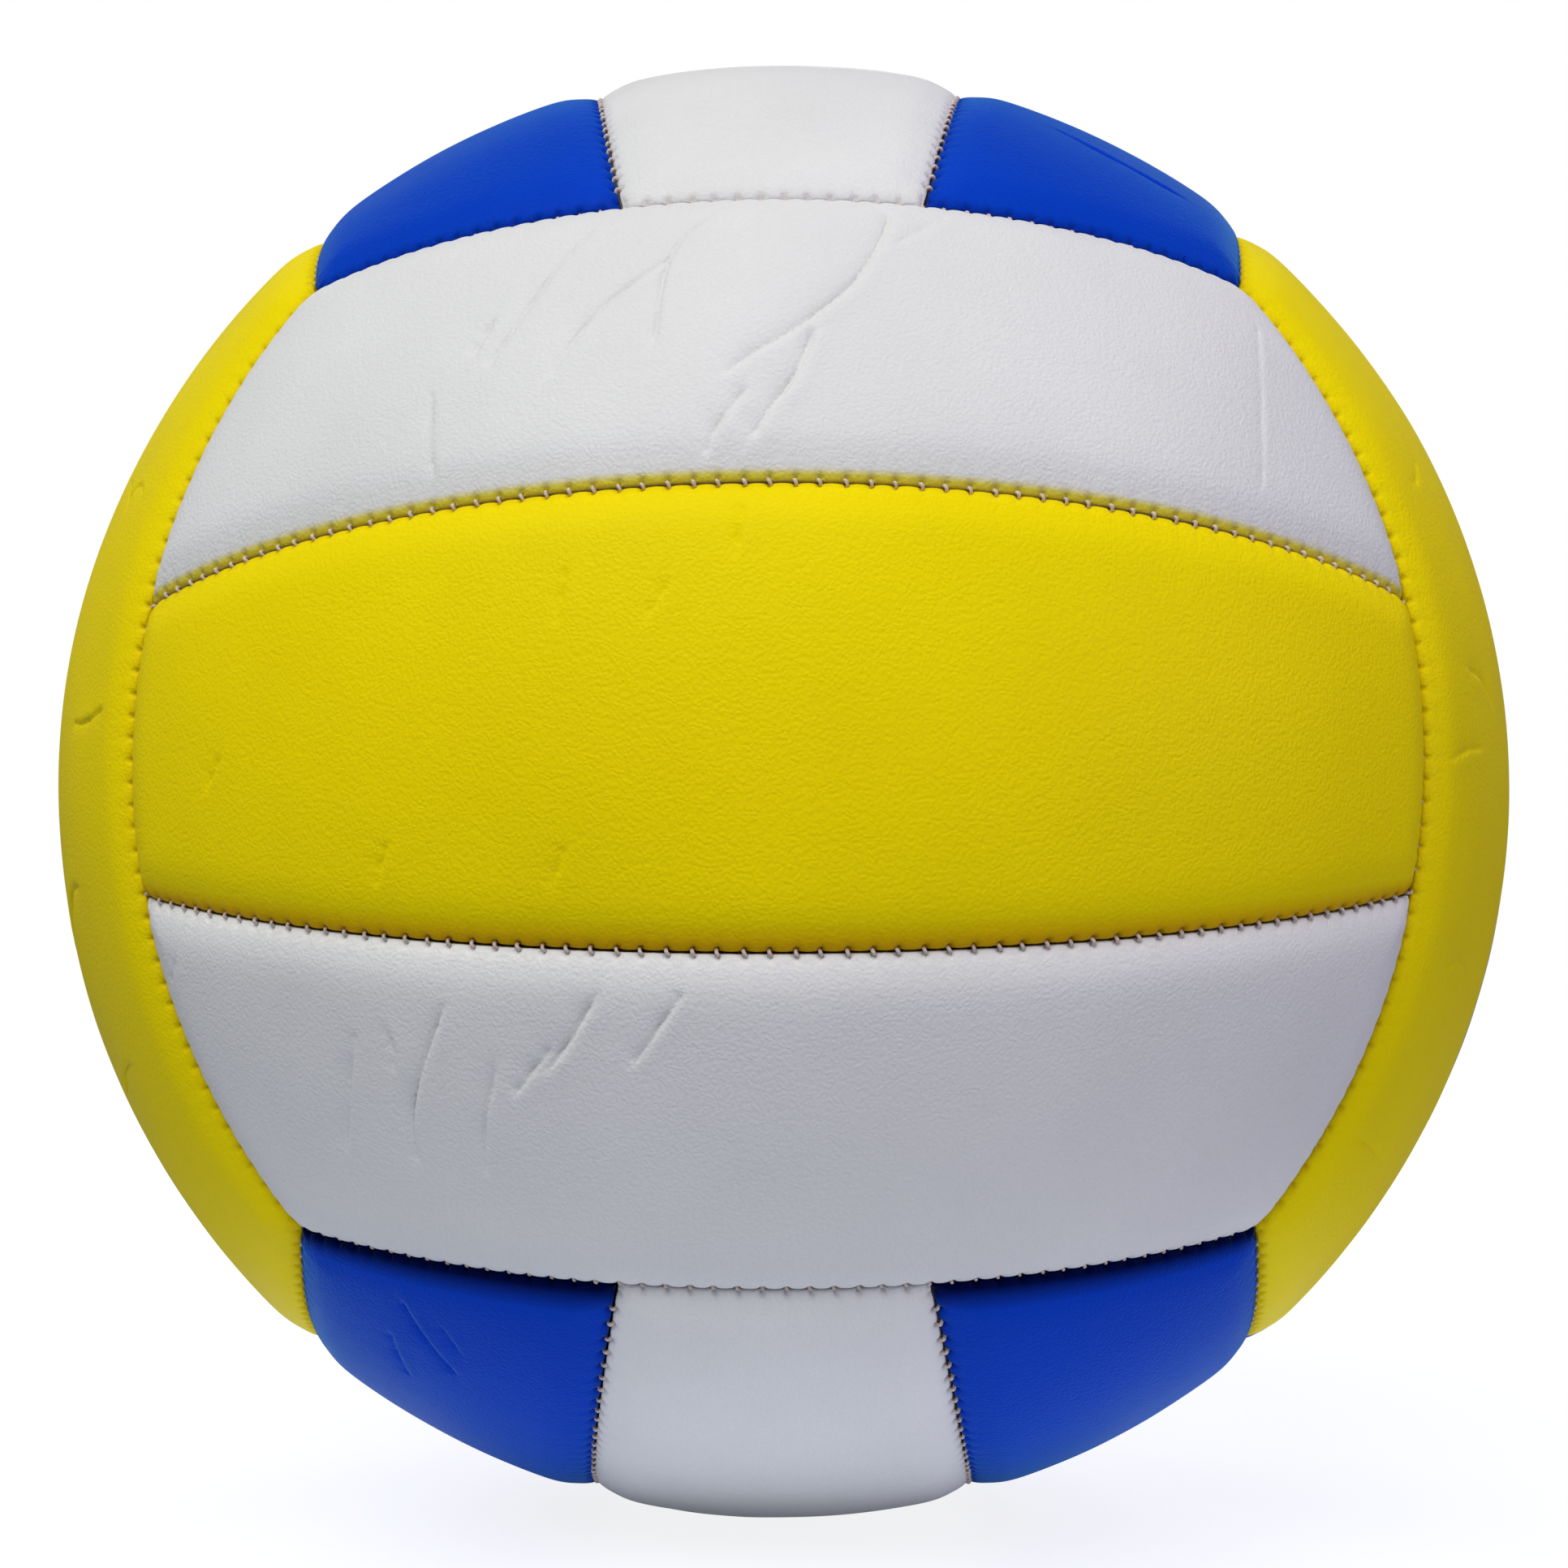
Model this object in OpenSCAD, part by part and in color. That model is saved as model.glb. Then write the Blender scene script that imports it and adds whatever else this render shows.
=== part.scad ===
// Volleyball: eighteen padded cover panels, stitched edge to edge over a rubber bladder.
// The ball's centre is the origin and +Z is up. The face whose strips lie level looks along -Y,
// and the valve looks along +Y. Each of the six faces has three strips, and the strips of
// neighbouring faces run at right angles to each other.

/* [Ball] */
// Outside diameter of the inflated ball
ball_d = 210; // [170:1:260]

/* [Panel layout] */
// Angle at the ball's centre from the middle of a face to the seam along its long side
long_seam_angle = 38.9; // [37.5:0.1:41]
// Angle at the ball's centre from the middle of a face to the seams of its middle strip
strip_seam_angle = 14.7; // [13:0.1:16.5]
// Height of a strip seam at its ends, as a share of the ball's radius
strip_end_share = 0.178; // [0.165:0.001:0.2]

/* [Cover] */
// Thickness of the cover leather
skin_t = 0.9; // [0.6:0.1:1.3]
// Radius of the turned edge along the sides of a strip
side_roll_r = 3.2; // [3:0.1:4]
// Radius of the turned edge across the ends of a strip
end_roll_r = 2.7; // [2.4:0.1:2.9]
// Gap between the flanges of two panels at their seam
seam_gap = 0.7; // [0.6:0.05:1.2]
// How far the turned edge swells past its flange
edge_bead = 0.1; // [0.06:0.01:0.15]
// Angle at which the turned edge runs out into the ball's surface
edge_run_out = 20; // [15:1:30]
// How far the flanges reach inwards past the lining
flange_reach = 0.9; // [0.7:0.1:2]

/* [Padding] */
// Thickness of the foam under the leather
foam_t = 2.4; // [1.6:0.1:3.4]
// Thickness of the cloth lining behind the foam
lining_t = 0.6; // [0.3:0.1:1]
// Thickness of the glue between two layers
glue_t = 0.1; // [0.05:0.01:0.2]

/* [Stitching] */
// Room on each side of the thread between two flanges
thread_clearance = 0.05; // [0.03:0.01:0.1]
// Height of the thread's middle above the inner edge of the flanges
thread_lift = 0.6; // [0.5:0.05:0.9]

/* [Bladder] */
// Thickness of the rubber bladder
bladder_t = 0.8; // [0.5:0.1:1.5]
// Room between the flanges and the bladder
bladder_gap = 0.2; // [0.1:0.05:0.4]

/* [Valve] */
// Diameter of the hole that takes the pump's needle
needle_hole_d = 2.4; // [2:0.1:3]
// Depth of the straight part of that hole
needle_hole_depth = 8; // [6:0.5:12]
// Diameter of the lead-in at its mouth
lead_in_d = 4; // [3.6:0.1:5]
// Depth of the lead-in
lead_in_depth = 0.8; // [0.4:0.1:1.2]
// Diameter of the valve's stem
stem_d = 8.4; // [7.6:0.1:12]
// Depth of the valve's face below the ball's surface
valve_recess = 0.3; // [0.1:0.1:0.8]
// Diameter of the flange bonded inside the bladder
valve_flange_d = 22; // [16:1:30]
// Thickness of that flange
valve_flange_t = 1.2; // [0.8:0.1:2]
// Diameter of the self-sealing core
core_d = 4.6; // [4:0.1:5.6]
// Length of the core
core_l = 6; // [4:0.5:9]
// Width of the slit through the core
slit_w = 0.2; // [0.1:0.05:0.4]
// Length of the slit across the core
slit_l = 2.6; // [2:0.1:3.2]
// Diameter of the patch round the valve
patch_d = 32; // [24:1:38]
// Thickness of the patch
patch_t = 0.5; // [0.3:0.1:0.6]
// Room between the valve's parts and what they are bonded into
bond_gap = 0.05; // [0.03:0.01:0.1]
// Room between the stem and the cover, foam and lining
stem_clearance = 0.15; // [0.1:0.05:0.4]

/* [Hidden] */
$fn = 160;

WHITE = "#e9eaec";
YELLOW = "#dccb0a";
BLUE = "#0c3db4";
FOAM = "#d8d3c4";
CLOTH = "#cfc8b8";
THREAD = "#e4ddd0";
RUBBER = "#26262a";
PATCH = "#3a3a40";

// Radii and depths of the layers, from the outside in
ball_r = ball_d / 2;
foam_depth = skin_t + glue_t;
lining_depth = foam_depth + foam_t + glue_t;
flange_depth = lining_depth + lining_t + flange_reach;
bladder_r = ball_r - flange_depth - bladder_gap;
thread_d = seam_gap - 2 * thread_clearance;
thread_depth = flange_depth - thread_lift;

// How far a cut runs past what it cuts, and how far a cutter reaches across the ball
overrun = 1;
reach = ball_d;

// The corner where three faces meet lies this share of the radius along each axis
corner_share = 1 / sqrt(3);

// Each seam is a circle on the ball. Its plane's normal tilts back from the vertical by the
// tilt angle, and the seam lies at the cone angle from that normal.
long_tilt = atan2(sin(long_seam_angle) - corner_share, cos(long_seam_angle) - corner_share);
long_cone = 90 - long_seam_angle + long_tilt;
long_half_turn = asin(corner_share / sin(long_cone));

// Where a strip seam runs into the end seam of its face, in shares of the radius
end_chord_share = sqrt(1 - strip_end_share ^ 2 - cos(long_cone) ^ 2);
end_x_share = end_chord_share * cos(long_tilt) - cos(long_cone) * sin(long_tilt);
end_y_share = end_chord_share * sin(long_tilt) + cos(long_cone) * cos(long_tilt);
strip_tilt = atan2(sin(strip_seam_angle) - strip_end_share, cos(strip_seam_angle) - end_y_share);
strip_cone = 90 - strip_seam_angle + strip_tilt;
strip_half_turn = asin(end_x_share / sin(strip_cone));

// The valve, measured outwards from the ball's centre
valve_face = ball_r - valve_recess;
needle_end = valve_face - lead_in_depth - needle_hole_depth;
stem_end = needle_end - core_l - bond_gap;
thread_end_room = 1.5 * thread_d;

// What a panel loses on the far side of a seam, in the plane through the seam's axis.
// X runs from the seam into the panel and Y runs outwards from the ball's surface.
// The inset moves the whole outline into the panel, for the layers under the leather.
module beyond_edge(roll_r, inset) {
    wall = seam_gap / 2 + inset;
    roll_x = seam_gap / 2 + roll_r - edge_bead;
    roll_depth = roll_r * cos(edge_run_out);
    top_x = roll_x - (roll_r - inset) * sin(edge_run_out / 2);
    difference() {
        polygon([
            [-reach, -2 * reach],
            [wall, -2 * reach],
            [wall, -roll_depth],
            [top_x, -roll_depth],
            [top_x, overrun],
            [-reach, overrun]
        ]);
        translate([roll_x, -roll_depth])
            circle(r = roll_r - inset);
    }
}

// That loss turned about the seam's axis, here +Z, for a panel outside or inside the cone
module seam_cutter(cone_angle, roll_r, inset, panel_is_inside) {
    rotate_extrude()
        intersection() {
            translate([0, -reach])
                square([reach, 2 * reach]);
            rotate(-cone_angle)
                mirror([panel_is_inside ? 1 : 0, 0])
                    translate([0, ball_r])
                        beyond_edge(roll_r, inset);
        }
}

// One cut along each seam of the face that looks along -Y, taken from the children.
// Each cutter is turned about its own axis so that its closing line lies off the face.
module cut_long_side(inset) {
    difference() {
        children();
        rotate([-long_tilt, 0, 0])
            rotate(60)
                seam_cutter(long_cone, side_roll_r, inset, false);
    }
}

module cut_right_end(inset) {
    difference() {
        children();
        rotate([90, 0, -long_tilt])
            rotate(180)
                seam_cutter(long_cone, end_roll_r, inset, true);
    }
}

module cut_left_end(inset) {
    difference() {
        children();
        rotate([90, 0, long_tilt])
            seam_cutter(long_cone, end_roll_r, inset, true);
    }
}

module cut_below_strip_seam(inset) {
    difference() {
        children();
        rotate([-strip_tilt, 0, 0])
            rotate(60)
                seam_cutter(strip_cone, side_roll_r, inset, true);
    }
}

module cut_above_strip_seam(inset) {
    difference() {
        children();
        rotate([-strip_tilt, 0, 0])
            rotate(60)
                seam_cutter(strip_cone, side_roll_r, inset, false);
    }
}

// The part of the ball between two depths below its surface
module layer(outer_depth, inner_depth) {
    rotate(90)
        difference() {
            sphere(r = ball_r - outer_depth);
            sphere(r = ball_r - inner_depth);
        }
}

// One layer of the upper strip and of the middle strip of that face
module outer_strip(inset, outer_depth, inner_depth) {
    cut_below_strip_seam(inset)
        cut_long_side(inset)
            cut_right_end(inset)
                cut_left_end(inset)
                    layer(outer_depth, inner_depth);
}

module middle_strip(inset, outer_depth, inner_depth) {
    mirror([0, 0, 1])
        cut_above_strip_seam(inset)
            mirror([0, 0, 1])
                cut_above_strip_seam(inset)
                    cut_right_end(inset)
                        cut_left_end(inset)
                            layer(outer_depth, inner_depth);
}

// A panel's leather: its face, its turned edges and the flanges that the thread joins
module outer_cover() {
    difference() {
        outer_strip(0, 0, flange_depth);
        outer_strip(skin_t, skin_t, flange_depth + overrun);
    }
}

module middle_cover() {
    difference() {
        middle_strip(0, 0, flange_depth);
        middle_strip(skin_t, skin_t, flange_depth + overrun);
    }
}

module outer_foam() {
    outer_strip(foam_depth, foam_depth, foam_depth + foam_t);
}

module middle_foam() {
    middle_strip(foam_depth, foam_depth, foam_depth + foam_t);
}

module face_lining() {
    outer_strip(foam_depth, lining_depth, lining_depth + lining_t);
    middle_strip(foam_depth, lining_depth, lining_depth + lining_t);
    lower() outer_strip(foam_depth, lining_depth, lining_depth + lining_t);
}

// The thread that joins two flanges, over this much of the seam to each side of its middle
module seam_thread(cone_angle, half_turn) {
    room = asin(thread_end_room / (ball_r * sin(cone_angle)));
    turn = half_turn - room;
    rotate(-90 - turn)
        rotate_extrude(angle = 2 * turn)
            rotate(-cone_angle)
                translate([0, ball_r - thread_depth])
                    circle(d = thread_d);
}

module long_side_thread() {
    rotate([-long_tilt, 0, 0])
        seam_thread(long_cone, long_half_turn);
}

module strip_threads() {
    for (side = [0, 1])
        mirror([0, 0, side])
            rotate([-strip_tilt, 0, 0])
                seam_thread(strip_cone, strip_half_turn);
}

// Places on the ball for what is drawn on the face along -Y. Turning about the diagonal
// carries that face on to its neighbours and lays its strips across the next direction.
module lower() {
    mirror([0, 0, 1])
        children();
}

module on_back() {
    rotate(180)
        children();
}

module on_bottom() {
    rotate(a = 120, v = [1, 1, 1])
        children();
}

module on_top() {
    on_bottom()
        on_back()
            children();
}

module on_left() {
    rotate(a = 240, v = [1, 1, 1])
        children();
}

module on_right() {
    on_left()
        on_back()
            children();
}

// Along the valve's axis, with +Z outwards from the ball's centre
module along_valve() {
    rotate([-90, 0, 0])
        children();
}

module valve_opening(clearance) {
    along_valve()
        cylinder(d = stem_d + 2 * clearance, h = ball_r + overrun);
}

// Cover panels
module front_upper_panel() { color(WHITE) outer_cover(); }
module front_middle_panel() { color(YELLOW) middle_cover(); }
module front_lower_panel() { color(WHITE) lower() outer_cover(); }
module back_upper_panel() { color(WHITE) on_back() outer_cover(); }
module back_middle_panel() {
    color(YELLOW)
        difference() {
            on_back() middle_cover();
            valve_opening(stem_clearance);
        }
}
module back_lower_panel() { color(WHITE) on_back() lower() outer_cover(); }
module left_front_panel() { color(YELLOW) on_left() lower() outer_cover(); }
module left_middle_panel() { color(BLUE) on_left() middle_cover(); }
module left_back_panel() { color(YELLOW) on_left() outer_cover(); }
module right_front_panel() { color(YELLOW) on_right() lower() outer_cover(); }
module right_middle_panel() { color(BLUE) on_right() middle_cover(); }
module right_back_panel() { color(YELLOW) on_right() outer_cover(); }
module top_left_panel() { color(BLUE) on_top() lower() outer_cover(); }
module top_middle_panel() { color(WHITE) on_top() middle_cover(); }
module top_right_panel() { color(BLUE) on_top() outer_cover(); }
module bottom_left_panel() { color(BLUE) on_bottom() lower() outer_cover(); }
module bottom_middle_panel() { color(WHITE) on_bottom() middle_cover(); }
module bottom_right_panel() { color(BLUE) on_bottom() outer_cover(); }

// Foam pads
module front_upper_foam() { color(FOAM) outer_foam(); }
module front_middle_foam() { color(FOAM) middle_foam(); }
module front_lower_foam() { color(FOAM) lower() outer_foam(); }
module back_upper_foam() { color(FOAM) on_back() outer_foam(); }
module back_middle_foam() {
    color(FOAM)
        difference() {
            on_back() middle_foam();
            valve_opening(stem_clearance);
        }
}
module back_lower_foam() { color(FOAM) on_back() lower() outer_foam(); }
module left_front_foam() { color(FOAM) on_left() lower() outer_foam(); }
module left_middle_foam() { color(FOAM) on_left() middle_foam(); }
module left_back_foam() { color(FOAM) on_left() outer_foam(); }
module right_front_foam() { color(FOAM) on_right() lower() outer_foam(); }
module right_middle_foam() { color(FOAM) on_right() middle_foam(); }
module right_back_foam() { color(FOAM) on_right() outer_foam(); }
module top_left_foam() { color(FOAM) on_top() lower() outer_foam(); }
module top_middle_foam() { color(FOAM) on_top() middle_foam(); }
module top_right_foam() { color(FOAM) on_top() outer_foam(); }
module bottom_left_foam() { color(FOAM) on_bottom() lower() outer_foam(); }
module bottom_middle_foam() { color(FOAM) on_bottom() middle_foam(); }
module bottom_right_foam() { color(FOAM) on_bottom() outer_foam(); }

// Cloth linings, one piece behind each strip of a face
module front_lining() { color(CLOTH) face_lining(); }
module back_lining() {
    color(CLOTH)
        difference() {
            on_back() face_lining();
            valve_opening(stem_clearance);
        }
}
module left_lining() { color(CLOTH) on_left() face_lining(); }
module right_lining() { color(CLOTH) on_right() face_lining(); }
module top_lining() { color(CLOTH) on_top() face_lining(); }
module bottom_lining() { color(CLOTH) on_bottom() face_lining(); }

// Threads along the two seams inside each face
module front_strip_thread() { color(THREAD) strip_threads(); }
module back_strip_thread() { color(THREAD) on_back() strip_threads(); }
module left_strip_thread() { color(THREAD) on_left() strip_threads(); }
module right_strip_thread() { color(THREAD) on_right() strip_threads(); }
module top_strip_thread() { color(THREAD) on_top() strip_threads(); }
module bottom_strip_thread() { color(THREAD) on_bottom() strip_threads(); }

// Threads between faces: the four seams along the long sides of a pair of opposite faces
module pair_border_threads() {
    for (side = [0, 1])
        mirror([0, 0, side]) {
            long_side_thread();
            on_back() long_side_thread();
        }
}
module front_back_border_thread() { color(THREAD) pair_border_threads(); }
module left_right_border_thread() { color(THREAD) on_left() pair_border_threads(); }
module top_bottom_border_thread() { color(THREAD) on_bottom() pair_border_threads(); }

module bladder() {
    color(RUBBER)
        difference() {
            sphere(r = bladder_r);
            sphere(r = bladder_r - bladder_t);
            valve_opening(bond_gap);
        }
}

// The stem with its needle hole, and the flange that is bonded to the bladder from inside
module valve_body() {
    flange_r = bladder_r - bladder_t - bond_gap;
    core_bore_d = core_d + 2 * bond_gap;
    color(RUBBER)
        along_valve()
            difference() {
                union() {
                    translate([0, 0, stem_end])
                        cylinder(d = stem_d, h = valve_face - stem_end);
                    intersection() {
                        cylinder(d = valve_flange_d, h = ball_r);
                        difference() {
                            sphere(r = flange_r);
                            sphere(r = flange_r - valve_flange_t);
                        }
                    }
                }
                translate([0, 0, needle_end])
                    cylinder(d = needle_hole_d, h = ball_r);
                translate([0, 0, valve_face - lead_in_depth])
                    cylinder(d1 = needle_hole_d, d2 = lead_in_d, h = lead_in_depth);
                translate([0, 0, stem_end - overrun])
                    cylinder(d = core_bore_d, h = needle_end - stem_end + overrun);
            }
}

// The soft core that closes round the needle and seals behind it
module valve_core() {
    color(PATCH)
        along_valve()
            translate([0, 0, stem_end])
                difference() {
                    cylinder(d = core_d, h = core_l);
                    translate([-slit_l / 2, -slit_w / 2, -overrun])
                        cube([slit_l, slit_w, core_l + 2 * overrun]);
                }
}

// The patch bonded to the bladder round the stem
module valve_patch() {
    patch_r = bladder_r + bond_gap;
    color(PATCH)
        along_valve()
            difference() {
                intersection() {
                    cylinder(d = patch_d, h = ball_r);
                    difference() {
                        sphere(r = patch_r + patch_t);
                        sphere(r = patch_r);
                    }
                }
                cylinder(d = stem_d + 2 * bond_gap, h = ball_r + overrun);
            }
}

front_upper_panel();
front_middle_panel();
front_lower_panel();
back_upper_panel();
back_middle_panel();
back_lower_panel();
left_front_panel();
left_middle_panel();
left_back_panel();
right_front_panel();
right_middle_panel();
right_back_panel();
top_left_panel();
top_middle_panel();
top_right_panel();
bottom_left_panel();
bottom_middle_panel();
bottom_right_panel();
front_upper_foam();
front_middle_foam();
front_lower_foam();
back_upper_foam();
back_middle_foam();
back_lower_foam();
left_front_foam();
left_middle_foam();
left_back_foam();
right_front_foam();
right_middle_foam();
right_back_foam();
top_left_foam();
top_middle_foam();
top_right_foam();
bottom_left_foam();
bottom_middle_foam();
bottom_right_foam();
front_lining();
back_lining();
left_lining();
right_lining();
top_lining();
bottom_lining();
front_strip_thread();
back_strip_thread();
left_strip_thread();
right_strip_thread();
top_strip_thread();
bottom_strip_thread();
front_back_border_thread();
left_right_border_thread();
top_bottom_border_thread();
bladder();
valve_body();
valve_core();
valve_patch();
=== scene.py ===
import copy
import math

import bpy
import numpy as np
from bpy.props import FloatProperty, FloatVectorProperty, IntProperty, PointerProperty
from mathutils import Matrix, Vector


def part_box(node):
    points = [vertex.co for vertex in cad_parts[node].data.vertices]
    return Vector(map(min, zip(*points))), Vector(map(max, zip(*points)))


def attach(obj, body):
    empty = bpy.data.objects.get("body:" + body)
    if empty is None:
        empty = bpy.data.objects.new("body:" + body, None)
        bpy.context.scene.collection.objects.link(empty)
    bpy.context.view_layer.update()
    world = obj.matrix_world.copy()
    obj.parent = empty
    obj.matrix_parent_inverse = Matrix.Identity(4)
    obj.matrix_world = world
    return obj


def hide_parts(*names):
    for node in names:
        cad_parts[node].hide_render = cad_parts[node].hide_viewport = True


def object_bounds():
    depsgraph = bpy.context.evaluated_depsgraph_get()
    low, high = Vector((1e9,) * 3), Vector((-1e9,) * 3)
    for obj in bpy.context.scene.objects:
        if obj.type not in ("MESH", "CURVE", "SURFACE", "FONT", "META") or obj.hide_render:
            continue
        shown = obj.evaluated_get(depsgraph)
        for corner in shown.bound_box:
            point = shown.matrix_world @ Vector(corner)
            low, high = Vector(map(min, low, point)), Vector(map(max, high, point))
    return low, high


bl_info = {
    "name": "Stitched volleyball",
    "version": (1, 0, 0),
    "blender": (4, 5, 0),
    "location": "3D View > Sidebar > Volleyball",
    "description": "Padded leather panels, stitching and studio for the packed volleyball",
    "category": "Add Mesh",
}

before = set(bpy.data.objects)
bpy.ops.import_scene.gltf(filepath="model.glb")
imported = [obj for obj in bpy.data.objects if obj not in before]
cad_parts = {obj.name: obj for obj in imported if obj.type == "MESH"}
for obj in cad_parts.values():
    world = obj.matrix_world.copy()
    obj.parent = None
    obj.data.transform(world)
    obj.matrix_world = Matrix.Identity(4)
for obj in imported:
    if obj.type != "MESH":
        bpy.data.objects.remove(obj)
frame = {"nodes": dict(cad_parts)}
cad_low, cad_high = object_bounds()
BALL_R = (cad_high.x - cad_low.x) / 2
MM = 0.001
BODY = "root"

# Turns that carry the face along -Y, and its mirror image, to each face of the ball
FRONT = np.eye(3)
BACK = np.diag([-1.0, -1.0, 1.0])
BOTTOM = np.array([[0.0, 0.0, 1.0], [1.0, 0.0, 0.0], [0.0, 1.0, 0.0]])
LEFT = BOTTOM.T
TOP = BOTTOM @ BACK
RIGHT = LEFT @ BACK
LOWER = np.diag([1.0, 1.0, -1.0])

# Each face's turn, its upper, middle and lower strip, and their leathers
FACES = {
    "front": (FRONT, ("upper", "middle", "lower"), ("white", "yellow", "white")),
    "back": (BACK, ("upper", "middle", "lower"), ("white", "yellow", "white")),
    "left": (LEFT, ("back", "middle", "front"), ("yellow", "blue", "yellow")),
    "right": (RIGHT, ("back", "middle", "front"), ("yellow", "blue", "yellow")),
    "top": (TOP, ("right", "middle", "left"), ("blue", "white", "blue")),
    "bottom": (BOTTOM, ("right", "middle", "left"), ("blue", "white", "blue")),
}
BORDER_THREADS = {
    "front_back_border_thread": FRONT,
    "left_right_border_thread": LEFT,
    "top_bottom_border_thread": BOTTOM,
}

# Creases that the photograph shows: width and depth in mm, then the places that each one
# runs through, as degrees to the right of the front and above the equator
CREASES = {
    "front_upper": [
        (1.1, 1.0, [(9.5, 36.5), (9, 34.5), (6.5, 30), (4, 27.5), (1, 25), (-1.5, 23.5), (-3, 22)]),
        (0.9, 0.3, [(14.5, 36.5), (12.5, 35), (9.5, 33)]),
        (1.0, 0.9, [(3, 25.5), (2.5, 24), (1.5, 21.5), (0, 19.5), (-1, 17.5)]),
        (0.9, 0.65, [(-1.5, 21), (-2.5, 19.5), (-3.5, 18), (-4, 16.5)]),
        (0.8, 0.55, [(-5, 36), (-7.5, 33), (-8, 30), (-8, 27), (-8, 24.5)]),
        (0.8, 0.65, [(-7.5, 32), (-10, 30), (-12, 28), (-13.5, 26), (-15, 22.5)]),
        (0.9, 0.65, [(-14.5, 35), (-16.5, 32), (-17.5, 29.5), (-18.5, 27), (-20, 23.5)]),
        (0.8, 0.55, [(-20.5, 27.5), (-21, 26), (-21.5, 24.5)]),
        (0.6, 0.2, [(41.5, 30), (37.5, 22.5), (35, 16)]),
        (0.9, 0.3, [(-24, 22), (-22.5, 15.5)]),
    ],
    "front_lower": [
        (0.9, 0.45, [(-21.5, -17.5), (-24, -21.5), (-26, -25), (-26.5, -28.5)]),
        (0.9, 0.55, [(-11, -17), (-12, -18.5), (-13.5, -20.5), (-15, -22)]),
        (0.8, 0.45, [(-14.5, -20.5), (-16, -22), (-17.5, -23.5)]),
        (0.8, 0.45, [(-5.5, -17), (-7, -19), (-9, -21.5)]),
        (0.9, 0.4, [(-18.5, -21), (-19, -23), (-20, -25), (-20.5, -27), (-21, -29)]),
        (0.9, 0.35, [(-29, -19.5), (-30, -21.5), (-31, -24), (-33, -28)]),
        (0.7, 0.25, [(-26.5, -19), (-26, -20.5), (-26.5, -22)]),
        (0.8, 0.3, [(-46, -14.5), (-48, -16.5)]),
    ],
    "front_middle": [
        (0.8, 0.3, [(-1.5, 13), (-2, 9.5)]),
        (0.8, 0.25, [(-12.5, 9), (-13, 5.5)]),
        (0.8, 0.2, [(-6, 8), (-7.5, 5.5)]),
        (0.8, 0.3, [(-38.5, -1.5), (-40, -3.5)]),
        (0.8, 0.25, [(-12.5, -8), (-13.5, -10.5)]),
        (0.8, 0.3, [(-24.5, -7.5), (-25.5, -10)]),
    ],
    "bottom_left": [
        (1.0, 0.65, [(-35, -40.5), (-35.5, -44), (-35, -48)]),
        (0.8, 0.4, [(-40, -44), (-42, -46.5), (-43.5, -49)]),
        (0.8, 0.3, [(-32, -42.5), (-32, -45.5)]),
    ],
}

# How many made-up creases each of the other strips has
MADE_UP_CREASES = 5

# Each leather's darker colour down in its seams, which is painted shade, its roughness, its shine
# and its sheen
LEATHERS = {
    "white": ((0.62, 0.61, 0.62), 0.45, 0.06, 0.0),
    "yellow": ((0.62, 0.42, 0.003), 0.42, 0.022, 0.0),
    "blue": ((0.001, 0.012, 0.17), 0.45, 0.015, 0.28),
}
SHEEN_ROUGHNESS = 0.32
SHEEN_TINT = (0.2, 0.85, 1.0, 1.0)

# Each rubber's darker and lighter tone, and its roughness
RUBBERS = {
    "bladder_rubber": ((0.012, 0.012, 0.014), (0.03, 0.03, 0.033), 0.55),
    "valve_rubber": ((0.014, 0.014, 0.016), (0.03, 0.03, 0.034), 0.45),
    "core_rubber": ((0.03, 0.03, 0.034), (0.06, 0.06, 0.066), 0.6),
}

# Tints beside a seam, by the leather's colour and the strip's place on its face, or its face
# at the top and bottom: the seam, the width in mm that is fully tinted, the width in mm at
# which the tint ends, and the tint that the leather's colour is multiplied by. Three of them
# are painted light. The white upper strips' tint turns the white's edge yellow beside the
# yellow strip
SEAM_TINTS_AND_PAINTED_LIGHT = {
    "white_upper": ("strip seam", 0.6, 1.5, (1.05, 0.91, 0.08)),
    # Painted highlight along the white's edge beside the yellow strip
    "white_lower": ("strip seam", 1.2, 4.5, (1.14, 1.14, 1.13)),
    # Painted shade along the yellow's lower edge
    "yellow_middle": ("strip seam", 1.0, 3.6, (0.84, 0.64, 1.0)),
    # Painted shadow at both ends of the blue, under the edge of the white
    "blue_bottom": ("ends", 0.6, 3.4, (0.08, 0.08, 0.12)),
}

# The camera of the photograph: its distance in ball radii, its turn in degrees, its focal
# length and the ball's place in the photograph's pixels, its sensor, and the nearest and
# farthest metre that it sees
CAMERA_RADII = 3.554
CAMERA_YAW = -0.91
CAMERA_PITCH = -4.81
CAMERA_ROLL = -0.09
PHOTO_WIDTH = 1932
FOCAL_PIXELS = 3050.5
BALL_BELOW_CENTRE_PIXELS = 9.0
SENSOR_MM = 36.0
NEAREST_SEEN = 0.01
FARTHEST_SEEN = 50.0

# The soft lamps: which power each one has, its size, its distance from the ball's centre,
# its place in degrees to the right of the front and above the equator, its colour, and
# whether the gloss shows it
LAMPS = {
    "Key lamp": ("key_power", 1.3, 1.45, (-20, 46), (1.0, 1.0, 0.92), True),
    "Fill lamp": ("fill_power", 0.6, 1.2, (60, 8), (1.08, 0.97, 1.15), True),
    "Back lamp left": ("back_power", 0.6, 1.2, (-150, 30), (1.0, 1.0, 1.0), False),
    "Back lamp right": ("back_power", 0.6, 1.2, (150, 30), (1.0, 1.0, 1.0), False),
}
SURROUNDINGS_COLOUR = (1.03, 0.98, 1.45)


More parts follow.
